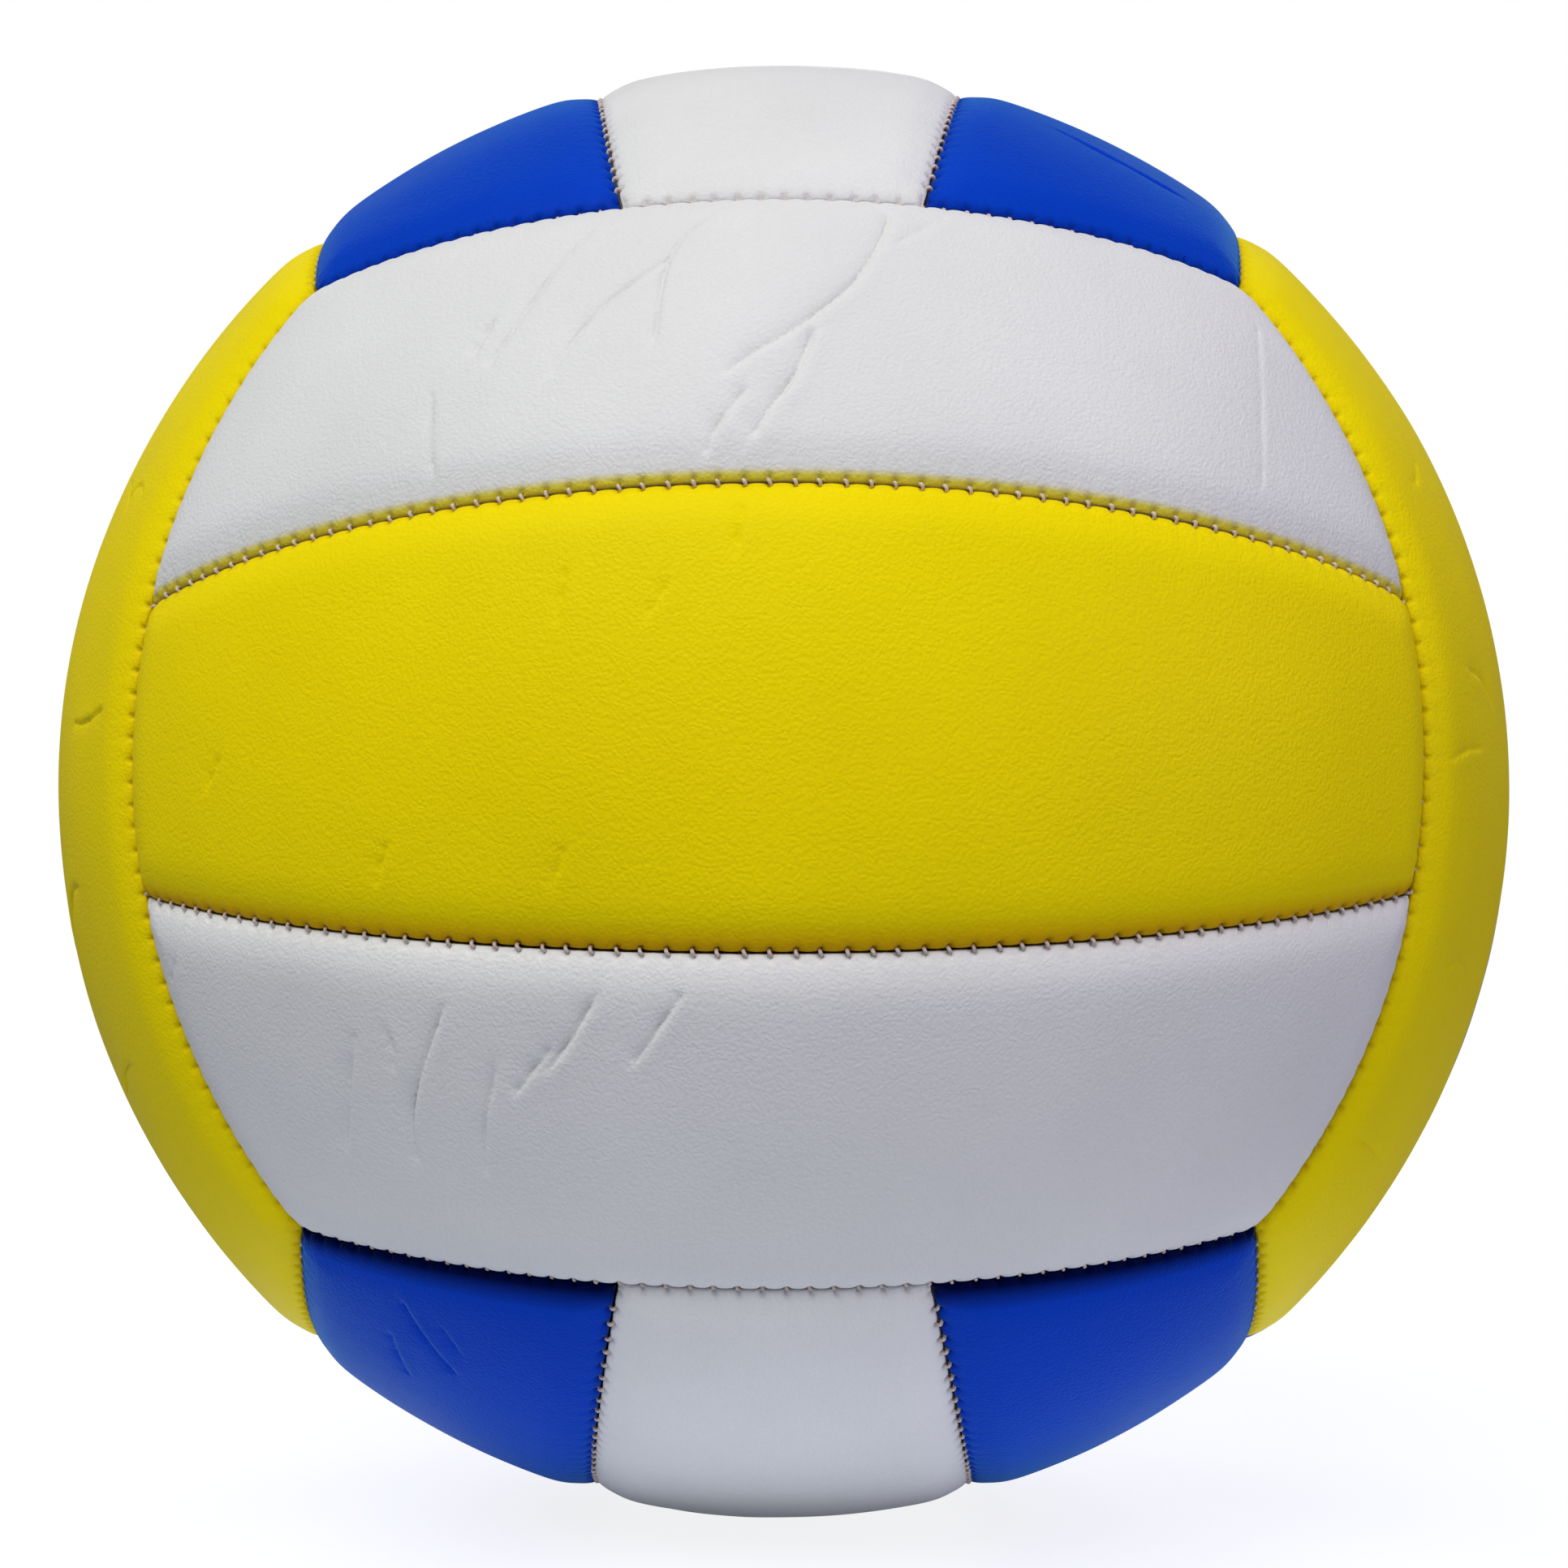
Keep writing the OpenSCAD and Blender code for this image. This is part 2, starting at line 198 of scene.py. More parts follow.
class BallLayout(bpy.types.PropertyGroup):
    """Where the seams run"""

    long_seam_angle: FloatProperty(
        name="Long seam angle",
        description="Angle at the centre from a face's middle to the seam along its long side",
        default=math.radians(38.9),
        subtype="ANGLE",
    )
    strip_seam_angle: FloatProperty(
        name="Strip seam angle",
        description="Angle at the centre from a face's middle to the seams of its middle strip",
        default=math.radians(14.7),
        subtype="ANGLE",
    )
    strip_end_share: FloatProperty(
        name="Strip end share",
        description="Height of a strip seam at its ends, as a share of the ball's radius",
        default=0.178,
    )


class CoverShape(bpy.types.PropertyGroup):
    """The leather panels and their mesh"""

    half_gap: FloatProperty(
        name="Half gap",
        description="From a seam's middle to the edge of the leather",
        default=0.15 * MM,
        unit="LENGTH",
    )
    edge_width: FloatProperty(
        name="Edge width",
        description="Width over which the leather turns down at a seam",
        default=2.0 * MM,
        unit="LENGTH",
    )
    edge_depth: FloatProperty(
        name="Edge depth",
        description="How far the leather turns down before it is a flange",
        default=1.85 * MM,
        unit="LENGTH",
    )
    pillow_depth: FloatProperty(
        name="Pillow depth",
        description="How far the padding sinks towards a seam",
        default=1.05 * MM,
        unit="LENGTH",
    )
    pillow_width: FloatProperty(
        name="Pillow width",
        description="Width over which the padding sinks",
        default=3.4 * MM,
        unit="LENGTH",
    )
    skin: FloatProperty(
        name="Leather thickness",
        description="Thickness of the leather",
        default=0.9 * MM,
        unit="LENGTH",
    )
    flange_depth: FloatProperty(
        name="Flange depth",
        description="Depth of the flanges' inner edge below the ball's surface",
        default=5.0 * MM,
        unit="LENGTH",
    )
    row_spacing: FloatProperty(
        name="Row spacing",
        description="Distance between the mesh's rows across a strip",
        default=0.36 * MM,
        unit="LENGTH",
    )
    columns_per_stitch: IntProperty(
        name="Columns per stitch",
        description="Columns of the mesh from one stitch to the next",
        default=9,
    )


class StitchShape(bpy.types.PropertyGroup):
    """The stitches, and what they do to the leather"""

    pitch: FloatProperty(
        name="Pitch",
        description="Distance between stitches",
        default=2.87 * MM,
        unit="LENGTH",
    )
    thread: FloatProperty(
        name="Thread radius",
        description="Radius of the thread where it crosses a seam",
        default=0.22 * MM,
        unit="LENGTH",
    )
    depth: FloatProperty(
        name="Stitch depth",
        description="Depth of a stitch's top below the ball's surface",
        default=1.18 * MM,
        unit="LENGTH",
    )
    scallop: FloatProperty(
        name="Scallop",
        description="How far the leather's edge waves in and out between stitches",
        default=0.035 * MM,
        unit="LENGTH",
    )
    hole_depth: FloatProperty(
        name="Hole depth",
        description="Depth of the dent where the thread enters the leather",
        default=0.8 * MM,
        unit="LENGTH",
    )


class BallColours(bpy.types.PropertyGroup):
    """The colours of the leather and the thread"""

    white: FloatVectorProperty(
        name="White",
        description="White leather",
        default=(0.78, 0.785, 0.79),
        subtype="COLOR",
    )
    yellow: FloatVectorProperty(
        name="Yellow",
        description="Yellow leather",
        default=(0.92, 0.745, 0.002),
        subtype="COLOR",
    )
    blue: FloatVectorProperty(
        name="Blue",
        description="Blue leather",
        default=(0.002, 0.047, 0.53),
        subtype="COLOR",
    )
    thread: FloatVectorProperty(
        name="Thread",
        description="Stitching thread",
        default=(0.76, 0.62, 0.54),
        subtype="COLOR",
    )


class StudioLight(bpy.types.PropertyGroup):
    """The lamps, the floor's light and the even light"""

    key_power: FloatProperty(
        name="Key power",
        description="Power of the large soft lamp above the front",
        default=18.7,
        unit="POWER",
    )
    fill_power: FloatProperty(
        name="Fill power",
        description="Power of the low lamp that lifts the right side",
        default=2.56,
        unit="POWER",
    )
    back_power: FloatProperty(
        name="Back power",
        description="Power of each of the two lamps behind the ball",
        default=4.97,
        unit="POWER",
    )
    # The strength of the paper's glow round the ball's foot: painted bounce light on the ball's
    # underside
    floor_light: FloatProperty(
        name="Floor light",
        description="Brightness of the paper round the ball, as the ball's underside sees it",
        default=0.62,
    )
    ambient: FloatProperty(
        name="Ambient",
        description="Strength of the even light from all around",
        default=0.13,
    )


def settings():
    return bpy.context.scene.volleyball


# Seams

# How far the stitches stray along their seam, and how fast that changes between stitches
STITCH_STRAY = 0.09 * MM
STRAY_TURN = 2.3


class Seam:
    """A circle on the ball, its part that is sewn, and the side on which the panel lies."""

    def __init__(self, axis, cone, side, middle, half_turn):
        self.axis = np.array(axis, float)
        self.cone = cone
        self.side = side
        toward = np.array(middle, float) - self.axis * np.dot(middle, axis)
        self.toward = toward / np.linalg.norm(toward)
        self.along = np.cross(self.axis, self.toward)
        length = 2 * half_turn * BALL_R * math.sin(cone)
        self.count = round(length / settings().stitches.pitch)
        self.pitch = length / self.count

    def mirrored(self):
        """The same seam on the other side of the equator."""
        twin = copy.copy(self)
        twin.axis = LOWER @ self.axis
        twin.toward = LOWER @ self.toward
        twin.along = LOWER @ self.along
        return twin

    def arc(self, inset, start, end, shares):
        """Points on the circle that lies inset into the panel, from start to end."""
        cone = self.cone + self.side * inset / BALL_R
        first = math.atan2(start @ self.along, start @ self.toward)
        last = math.atan2(end @ self.along, end @ self.toward)
        turn = (first + (last - first) * shares)[:, None]
        ring = np.cos(turn) * self.toward + np.sin(turn) * self.along
        return math.cos(cone) * self.axis + math.sin(cone) * ring

    def stitch_place(self, index):
        """How far a stitch lies from the seam's middle, with a little unevenness."""
        even = (index + 0.5 - self.count / 2) * self.pitch
        return even + STITCH_STRAY * np.sin(STRAY_TURN * np.abs(even) / self.pitch)

    def read(self, points):
        """Distance into the panel, distance along to the nearest stitch, and the way inwards."""
        cosine = np.clip(points @ self.axis, -1, 1)
        angle = np.arccos(cosine)
        distance = self.side * (angle - self.cone) * BALL_R
        run = np.arctan2(points @ self.along, points @ self.toward)
        run = run * BALL_R * math.sin(self.cone)
        index = np.clip(np.floor(run / self.pitch + self.count / 2), 0, self.count - 1)
        off = run - self.stitch_place(index)
        inwards = self.side * (points * cosine[:, None] - self.axis) / np.sin(angle)[:, None]
        return distance, off, inwards


def meeting(first, second, inset, near):
    """Where two circles, both moved into the panel by inset, cross nearest to a place."""
    a = math.cos(first.cone + first.side * inset / BALL_R)
    b = math.cos(second.cone + second.side * inset / BALL_R)
    dot = first.axis @ second.axis
    spread = 1 - dot * dot
    base = (a - dot * b) / spread * first.axis + (b - dot * a) / spread * second.axis
    cross = np.cross(first.axis, second.axis)
    step = math.sqrt(max(0.0, 1 - base @ base) / (cross @ cross)) * cross
    return max((base + step, base - step), key=lambda p: p @ np.array(near))


class Seams:
    """The seams of the face along -Y, as the part's source has them."""

    def __init__(self):
        layout = settings().layout
        alpha = layout.long_seam_angle
        beta = layout.strip_seam_angle
        share = layout.strip_end_share
        corner = 1 / math.sqrt(3)
        # Each seam's circle has an axis that leans back from the upright by its tilt, and the
        # seam lies at its cone angle from that axis
        tilt = math.atan2(math.sin(alpha) - corner, math.cos(alpha) - corner)
        cone = math.pi / 2 - alpha + tilt
        half = math.asin(corner / math.sin(cone))
        chord = math.sqrt(1 - share**2 - math.cos(cone) ** 2)
        end_x = chord * math.cos(tilt) - math.cos(cone) * math.sin(tilt)
        end_y = chord * math.sin(tilt) + math.cos(cone) * math.cos(tilt)
        strip_tilt = math.atan2(math.sin(beta) - share, math.cos(beta) - end_y)
        strip_cone = math.pi / 2 - beta + strip_tilt
        strip_half = math.asin(end_x / math.sin(strip_cone))
        up = (0, math.sin(tilt), math.cos(tilt))
        sideways = (0, math.sin(strip_tilt), math.cos(strip_tilt))
        high = (0, -math.cos(alpha), math.sin(alpha))
        level = (0, -math.cos(beta), math.sin(beta))
        right = (-math.sin(tilt), -math.cos(tilt), 0)
        left = (math.sin(tilt), -math.cos(tilt), 0)
        at_right = (math.cos(alpha), -math.sin(alpha), 0)
        at_left = (-math.cos(alpha), -math.sin(alpha), 0)
        self.long_side = Seam(up, cone, 1, high, half)
        self.right_end = Seam(right, cone, -1, at_right, half)
        self.left_end = Seam(left, cone, -1, at_left, half)
        self.strip_from_above = Seam(sideways, strip_cone, -1, level, strip_half)
        self.strip_from_below = Seam(sideways, strip_cone, 1, level, strip_half)
        self.end_z = share
        self.end_xy = (end_x, end_y)
        self.corner = corner


class Outline:
    """A strip's four seams and the corners between them, for a panel seen from outside."""

    def __init__(self, seams, middle):
        self.left = seams.left_end
        self.right = seams.right_end
        x, y = seams.end_xy
        if middle:
            self.width = MIDDLE_STRIP_WIDTH
            self.bottom = seams.strip_from_below.mirrored()
            self.top = seams.strip_from_below
            low, high = (x, -y, -seams.end_z), (x, -y, seams.end_z)
        else:
            self.width = SIDE_STRIP_WIDTH
            self.bottom = seams.strip_from_above
            self.top = seams.long_side
            low, high = (x, -y, seams.end_z), (seams.corner, -seams.corner, seams.corner)
        self.near = {
            ("bottom", "left"): (-low[0], low[1], low[2]),
            ("bottom", "right"): low,
            ("top", "left"): (-high[0], high[1], high[2]),
            ("top", "right"): high,
        }

    def seams(self):
        return [self.bottom, self.right, self.top, self.left]

    def corners(self, inset):
        found = {}
        for (end, side), near in self.near.items():
            found[end, side] = meeting(getattr(self, end), getattr(self, side), inset, near)
        return found

    def edges(self, inset, across, up):
        """The four edges at inset: bottom and top by across, left and right by up."""
        c = self.corners(inset)
        bottom = self.bottom.arc(inset, c["bottom", "left"], c["bottom", "right"], across)
        top = self.top.arc(inset, c["top", "left"], c["top", "right"], across)
        left = self.left.arc(inset, c["bottom", "left"], c["top", "left"], up)
        right = self.right.arc(inset, c["bottom", "right"], c["top", "right"], up)
        return bottom, top, left, right

    def patch(self, inset, across, up):
        """A grid of directions that fills the outline, in rows from bottom to top."""
        bottom, top, left, right = self.edges(inset, across, up)
        u = across[None, :, None]
        v = up[:, None, None]
        rows = (1 - v) * bottom[None] + v * top[None]
        columns = (1 - u) * left[:, None] + u * right[:, None]
        low = (1 - u) * bottom[0] + u * bottom[-1]
        high = (1 - u) * top[0] + u * top[-1]
        grid = rows + columns - (1 - v) * low - v * high
        return grid / np.linalg.norm(grid, axis=2, keepdims=True)

    def ring(self, inset, across, up):
        """The outline's edges as one loop, anticlockwise from the bottom left corner."""
        bottom, top, left, right = self.edges(inset, across, up)
        return np.concatenate([bottom[:-1], right[:-1], top[:0:-1], left[:0:-1]])


# Leather surfaces

# What a stitch does to the leather: the radius of its hole, how far past the turned edge the
# hole may sink, the pucker's height, how far in from the edge the pucker and the scallop
# fade, and how much of the scallop's wave is added all along the edge
HOLE_RADIUS = 0.3 * MM
HOLE_SINK = 0.35 * MM
PUCKER = 0.035 * MM
PUCKER_FADE = 2.2 * MM
SCALLOP_FADE = 1.1 * MM
SCALLOP_MEAN = 0.2

# Swells of the padding and of the skin over it: the lengths of their waves in metres, and
# their height
PADDING_WAVES = (0.031, 0.047, 0.06, 0.083)
PADDING_SWELL = 0.09 * MM
SKIN_WAVES = (0.009, 0.012, 0.015, 0.019)
SKIN_SWELL = 0.012 * MM

# A crease's section, in widths of the crease: how far out it is worked out, and how far its
# sharp fold, its slow roll and its lip reach. Then the roll's and the lip's share of the depth
CREASE_REACH = 5
FOLD_REACH = 0.4
ROLL_REACH = 1.5
LIP_REACH = 2.2
ROLL_SHARE = 0.6
LIP_SHARE = 0.3

# How much a crease's depth wavers along it and how fast, and how the crease's place on the
# ball shifts that
WAVER = 0.25
WAVER_TURN = 17.0
WAVER_SHIFT = 900

# The mesh's points closer to a fold than a share of the mesh's spacing move on to it, but not
# at its free ends. Its depth fades out towards both ends. The ends are shares of its length
SNAP_SHARE = 0.44
FREE_END = 0.01
FADED_END = 0.02


def graded(length, edge, steps, spacing):
    """Shares from 0 to 1 that lie close together over the turned edges at both ends."""
    near = edge * (1 - np.cos(np.linspace(0, math.pi / 2, steps + 1)))
    count = max(INNER_STEP, round((length - 2 * edge) / spacing))
    count += -(count + 2 * steps) % INNER_STEP
    middle = np.linspace(edge, length - edge, count + 1)
    return np.concatenate([near[:-1], middle, (length - near[:-1])[::-1]]) / length


def turned_edge(distance):
    """How far the leather lies below the ball's surface at a distance from its edge."""
    cover = settings().cover
    into = np.maximum(distance - cover.half_gap, 0)
    roll = np.clip(1 - into / cover.edge_width, 0, 1)
    sunk = cover.pillow_depth * np.exp(-((into / cover.pillow_width) ** 2))
    return (cover.edge_depth - cover.pillow_depth) * (1 - np.sqrt(1 - roll**2)) + sunk


def stitched_edges(points, outline):
    """How far the leather sinks at its seams and stitches, and how the thread draws it in."""
    stitches = settings().stitches
    cover = settings().cover
    sunk = np.zeros(len(points))
    shift = np.zeros((len(points), 3))
    for seam in outline.seams():
        distance, off, inwards = seam.read(points)
        into = np.maximum(distance - cover.half_gap, 0)
        wave = np.cos(2 * math.pi * off / seam.pitch)
        edge = turned_edge(distance)
        hole = np.exp(-((off / HOLE_RADIUS) ** 2) - ((into - HOLE_RADIUS) / HOLE_RADIUS) ** 2)
        pucker = PUCKER * wave * np.exp(-((into / PUCKER_FADE) ** 2))
        sunk += (edge + stitches.hole_depth * hole + pucker) ** 3 * np.sign(edge)
        pull = stitches.scallop * (wave + SCALLOP_MEAN) * np.exp(-((into / SCALLOP_FADE) ** 2))
        shift += pull[:, None] * inwards
    return np.minimum(np.cbrt(sunk), cover.edge_depth + HOLE_SINK), shift


def direction(degrees_right, degrees_up):
    across, up = math.radians(degrees_right), math.radians(degrees_up)
    return np.array(
        [math.sin(across) * math.cos(up), -math.cos(across) * math.cos(up), math.sin(up)]
    )


def softened(path, cuts=2, share=0.25):
    """The path with its corners cut twice, so that a crease bends rather than kinks."""
    for _ in range(cuts):
        cut = [path[0]]
        for a, b in zip(path[:-1], path[1:]):
            cut += [(1 - share) * a + share * b, share * a + (1 - share) * b]
        path = cut + [path[-1]]
    return np.array(path)


def nearest_on(path, points):
    """For each point, the gap to the path, its length, the side of it and the share along it."""
    far = np.full(len(points), np.inf)
    side = np.zeros(len(points))
    share = np.zeros(len(points))
    nearest = np.zeros((len(points), 3))
    spans = len(path) - 1
    for i in range(spans):
        step = path[i + 1] - path[i]
        t = np.clip((points - path[i]) @ step / (step @ step), 0, 1)
        gap = points - (path[i] + t[:, None] * step)
        length = np.linalg.norm(gap, axis=1)
        nearer = length < far
        far = np.where(nearer, length, far)
        side = np.where(nearer, np.sign(np.cross(step, gap) @ path[i]), side)
        share = np.where(nearer, (i + t) / spans, share)
        nearest = np.where(nearer[:, None], gap, nearest)
    return nearest, far, side, share


def crease(points, width, depth, path, snap):
    """A sharp fold: a slow roll down to it on one side, a steep rise to a low lip on the other.

    Gives the heights, and the small moves that carry the mesh's nearest points on to the fold.
    """
    path = softened([p / np.linalg.norm(p) for p in path]) * BALL_R
    height = np.zeros(len(points))
    move = np.zeros((len(points), 3))
    middle = path.mean(0)
    around = np.linalg.norm(path - middle, axis=1).max() + CREASE_REACH * width
    close = np.nonzero(np.linalg.norm(points * BALL_R - middle, axis=1) < around)[0]
    if len(close) == 0:
        return height, move
    gap, far, side, share = nearest_on(path, points[close] * BALL_R)
    on_fold = (far < snap) & (share > FREE_END) & (share < 1 - FREE_END)
    far = np.where(on_fold, 0, far)
    fade = np.sqrt(np.sin(math.pi * np.clip(share, FADED_END, 1 - FADED_END)))
    waver = 1 + WAVER * np.sin(share * WAVER_TURN + path[0, 0] * WAVER_SHIFT)
    sharp = np.exp(-far / (FOLD_REACH * width))
    roll = ROLL_SHARE * np.exp(-far / (ROLL_REACH * width)) + (1 - ROLL_SHARE) * sharp
    lip = sharp - LIP_SHARE * (1 - sharp) * np.exp(-((far / (LIP_REACH * width)) ** 2))
    height[close] = -depth * fade * waver * np.where(side < 0, roll, lip)
    move[close] = np.where(on_fold[:, None], -gap, 0)
    return height, move


def swells(points, random, waves, amplitude):
    """Slow, shallow swells: a sum of waves given as their lengths in metres."""
    height = np.zeros(len(points))
    for length in waves:
        way = random.normal(size=3)
        way *= 2 * math.pi / length / np.linalg.norm(way)
        height += np.sin(points @ way * BALL_R + random.uniform(0, 2 * math.pi))
    return height * amplitude / math.sqrt(len(waves))


def random_creases(random, grid, count):
    """Made-up short creases for a strip that the photograph doesn't show.

    Rows, columns and lengths are shares of the strip. Each path runs through four places,
    from its one end, at -1, to the other, at 1.
    """
    row_margin, column_margin, squeeze = 0.08, 0.03, 0.4
    made = []
    rows, columns = grid.shape[:2]
    for _ in range(count):
        row = random.uniform(0.2, 0.8)
        column = random.uniform(0.1, 0.9)
        length = random.uniform(0.06, 0.22)
        lean = random.uniform(-0.4, 0.4)
        bend = random.uniform(-0.3, 0.3)
        path = []
        for t in (-1, -0.3, 0.35, 1):
            c = column + (t * lean + bend * t * t) * length * squeeze
            c = np.clip(c, column_margin, 1 - column_margin)
            r = np.clip(row + t * length, row_margin, 1 - row_margin)
            path.append(grid[int(r * (rows - 1)), int(c * (columns - 1))])
        width = random.uniform(0.7, 1.1) * MM
        depth = random.uniform(0.16, 0.48) * MM
        made.append((width, depth, path))
    return made


def creases_of(name, grid, turn, random):
    """A strip's creases, each with its width, its depth and its path on the face along -Y."""
    known = CREASES.get(name)
    if not known:
        return random_creases(random, grid, MADE_UP_CREASES)
    made = []
    for width, depth, places in known:
        path = [turn.T @ direction(*place) for place in places]
        made.append((width * MM, depth * MM, path))
    return made


def leather_face(grid, outline, turn, name, random):
    """The grid's points on the finished outer face, before they are turned to their place."""
    rows, columns = grid.shape[:2]
    points = grid.reshape(-1, 3)
    sunk, shift = stitched_edges(points, outline)
    raised = swells(points, random, PADDING_WAVES, PADDING_SWELL)
    raised += swells(points, random, SKIN_WAVES, SKIN_SWELL)
    mirrored = np.linalg.det(turn) < 0
    cover, stitches = settings().cover, settings().stitches
    spacing = min(cover.row_spacing, stitches.pitch / cover.columns_per_stitch)
    for width, depth, path in creases_of(name, grid, turn, random):
        path = path[::-1] if mirrored else path
        height, move = crease(points, width, depth, path, SNAP_SHARE * spacing)
        raised += height
        shift += move
    placed = points * (BALL_R - sunk + raised)[:, None] + shift
    return placed.reshape(rows, columns, 3)


# Leather panels

# The strips' nominal widths in metres, over which their rows are spaced, the band along each
# edge where rows and columns lie closer, and how many lie there. The inner face has every
# fourth row and column
SIDE_STRIP_WIDTH = 0.045
MIDDLE_STRIP_WIDTH = 0.0505
FINE_BAND = 3 * MM
FINE_ROWS = 10
FINE_COLUMNS = 9
INNER_STEP = 4

# The flange's outer side: how far in from the seam it stands, and how far below the turned
# edge it starts
FLANGE_INSET = 0.35 * MM
FLANGE_DROP = 0.9 * MM

# A panel's map: the size in metres that its outer face has there, near enough for every
# strip, and the bands of the map's height that the panel's parts take
MAP_LENGTH = 0.147
MAP_WIDTH = 0.0505
OUTER_FACE_TOP = 0.78
FLANGE_BAND = (0.79, 0.87)
INNER_FACE_BAND = (0.88, 0.99)

# The hole round the valve's stem, as wide as the part's source has it, and its cutter
STEM_HOLE_RADIUS = 4.35 * MM
CUTTER_SIDES = 96
CUTTER_LENGTH = 0.03


class MeshParts:
    """Vertices, faces and map places of one piece, gathered before its mesh is made."""

    def __init__(self):
        self.points = []
        self.faces = []
        self.maps = []
        self.total = 0

    def add(self, points, places):
        """Takes in points and their places on the map, and gives the first one's number."""
        first = self.total
        self.points.append(points)
        self.maps.append(places)
        self.total += len(points)
        return first

    def sheet(self, rows, columns, first):
        """Faces between the neighbours in a grid of vertices."""
        index = first + np.arange(rows * columns).reshape(rows, columns)
        quads = np.stack([index[:-1, :-1], index[:-1, 1:], index[1:, 1:], index[1:, :-1]], 2)
        self.faces += quads.reshape(-1, 4).tolist()

    def band(self, upper, lower):
        """Faces between two loops of the same length, given as lists of vertices."""
        for i in range(len(upper)):
            j = (i + 1) % len(upper)
            self.faces.append([upper[j], upper[i], lower[i], lower[j]])

    def build(self, name, turn, flipped):
        """Makes the piece, turned to its place, with its faces reversed where it is mirrored."""
        points = np.concatenate(self.points) @ turn.T
        maps = np.concatenate(self.maps)
        faces = [face[::-1] for face in self.faces] if flipped else self.faces
        mesh = bpy.data.meshes.new(name)
        mesh.from_pydata(points.tolist(), [], faces)
        layer = mesh.uv_layers.new(name="Map")
        corners = np.zeros(len(mesh.loops), np.int32)
        mesh.loops.foreach_get("vertex_index", corners)
        layer.data.foreach_set("uv", maps[corners].astype(np.float32).ravel())
        mesh.polygons.foreach_set("use_smooth", [True] * len(mesh.polygons))
        mesh.update()
        piece = bpy.data.objects.new(name, mesh)
        bpy.context.scene.collection.objects.link(piece)
        return piece


def loop_of(rows, columns, first):
    """The vertices round the edge of a sheet, in the order that Outline.ring gives."""
    index = first + np.arange(rows * columns).reshape(rows, columns)
    return np.concatenate([index[0, :-1], index[:-1, -1], index[-1, :0:-1], index[:0:-1, 0]])


def loop_places(count, share):
    """Map places for a loop of the flange, at a share of the flange's band."""
    low, high = FLANGE_BAND
    around = np.arange(count) / count
    height = np.full(count, low + (high - low) * share)
    return np.stack([around, height], 1)


def inner_face(parts, outline, across, up, inset, depth_of, ring):
    """The inner face: every fourth row and column, joined to a full loop at its edge."""
    step = INNER_STEP
    low, high = INNER_FACE_BAND
    rows, columns = len(up), len(across)
    grid = outline.patch(inset, across[::step], up[::step])
    inner_rows, inner_columns = grid.shape[:2]
    inside = grid[1:-1, 1:-1].reshape(-1, 3)
    places = np.stack(np.meshgrid(across[::step], up[::step]), 2)[1:-1, 1:-1].reshape(-1, 2)
    places = places * [1, high - low] + [0, low]
    first = parts.add(inside * (BALL_R - depth_of(inside))[:, None], places)
    loop = [(0, c) for c in range(columns - 1)]
    loop += [(r, columns - 1) for r in range(rows - 1)]
    loop += [(rows - 1, c) for c in range(columns - 1, 0, -1)]
    loop += [(r, 0) for r in range(rows - 1, 0, -1)]
    at = {place: int(vertex) for place, vertex in zip(loop, ring)}
    for r in range(1, inner_rows - 1):
        for c in range(1, inner_columns - 1):
            at[r * step, c * step] = first + (r - 1) * (inner_columns - 2) + c - 1
    # A cell at the edge takes in every vertex of the loop that lies on it
    for r in range(0, rows - 1, step):
        for c in range(0, columns - 1, step):
            around = [(r, c + k) for k in range(step)]
            around += [(r + k, c + step) for k in range(step)]
            around += [(r + step, c + step - k) for k in range(step)]
            around += [(r + step - k, c) for k in range(step)]
            face = [at[place] for place in around if place in at]
            parts.faces.append(face[::-1])


def cover_panel(name, outline, turn, flipped, random):
    """A closed leather panel: outer face, turned edges, flanges and inner face."""
    cover = settings().cover
    bottom = outline.bottom
    spacing = bottom.pitch / cover.columns_per_stitch
    across = graded(bottom.count * bottom.pitch, FINE_BAND, FINE_COLUMNS, spacing)
    up = graded(outline.width, FINE_BAND, FINE_ROWS, cover.row_spacing)
    grid = outline.patch(cover.half_gap, across, up)
    face = leather_face(grid, outline, turn, name, random)
    rows, columns = len(up), len(across)
    parts = MeshParts()
    places = np.stack(np.meshgrid(across, up), 2).reshape(-1, 2) * [1, OUTER_FACE_TOP]
    first = parts.add(face.reshape(-1, 3), places)
    parts.sheet(rows, columns, first)
    last = loop_of(rows, columns, first)
    inner = FLANGE_INSET + cover.skin
    inner_depth = float(turned_edge(np.array([inner]))[0]) + cover.skin
    steps = [
        (FLANGE_INSET, cover.edge_depth + FLANGE_DROP),
        (FLANGE_INSET, cover.flange_depth),
        (inner, cover.flange_depth),
        (inner, inner_depth),
    ]
    for i, (inset, depth) in enumerate(steps):
        loop = outline.ring(inset, across, up) * (BALL_R - depth)
        start = parts.add(loop, loop_places(len(loop), i / len(steps)))
        ring = start + np.arange(len(loop))
        parts.band(last.tolist(), ring.tolist())
        last = ring

    def depth_of(points):
        sunk = np.zeros(len(points))
        for seam in outline.seams():
            sunk = np.maximum(sunk, turned_edge(seam.read(points)[0]))
        return sunk + cover.skin

    inner_face(parts, outline, across, up, inner, depth_of, last)
    return parts.build(name + "_leather", turn, flipped)


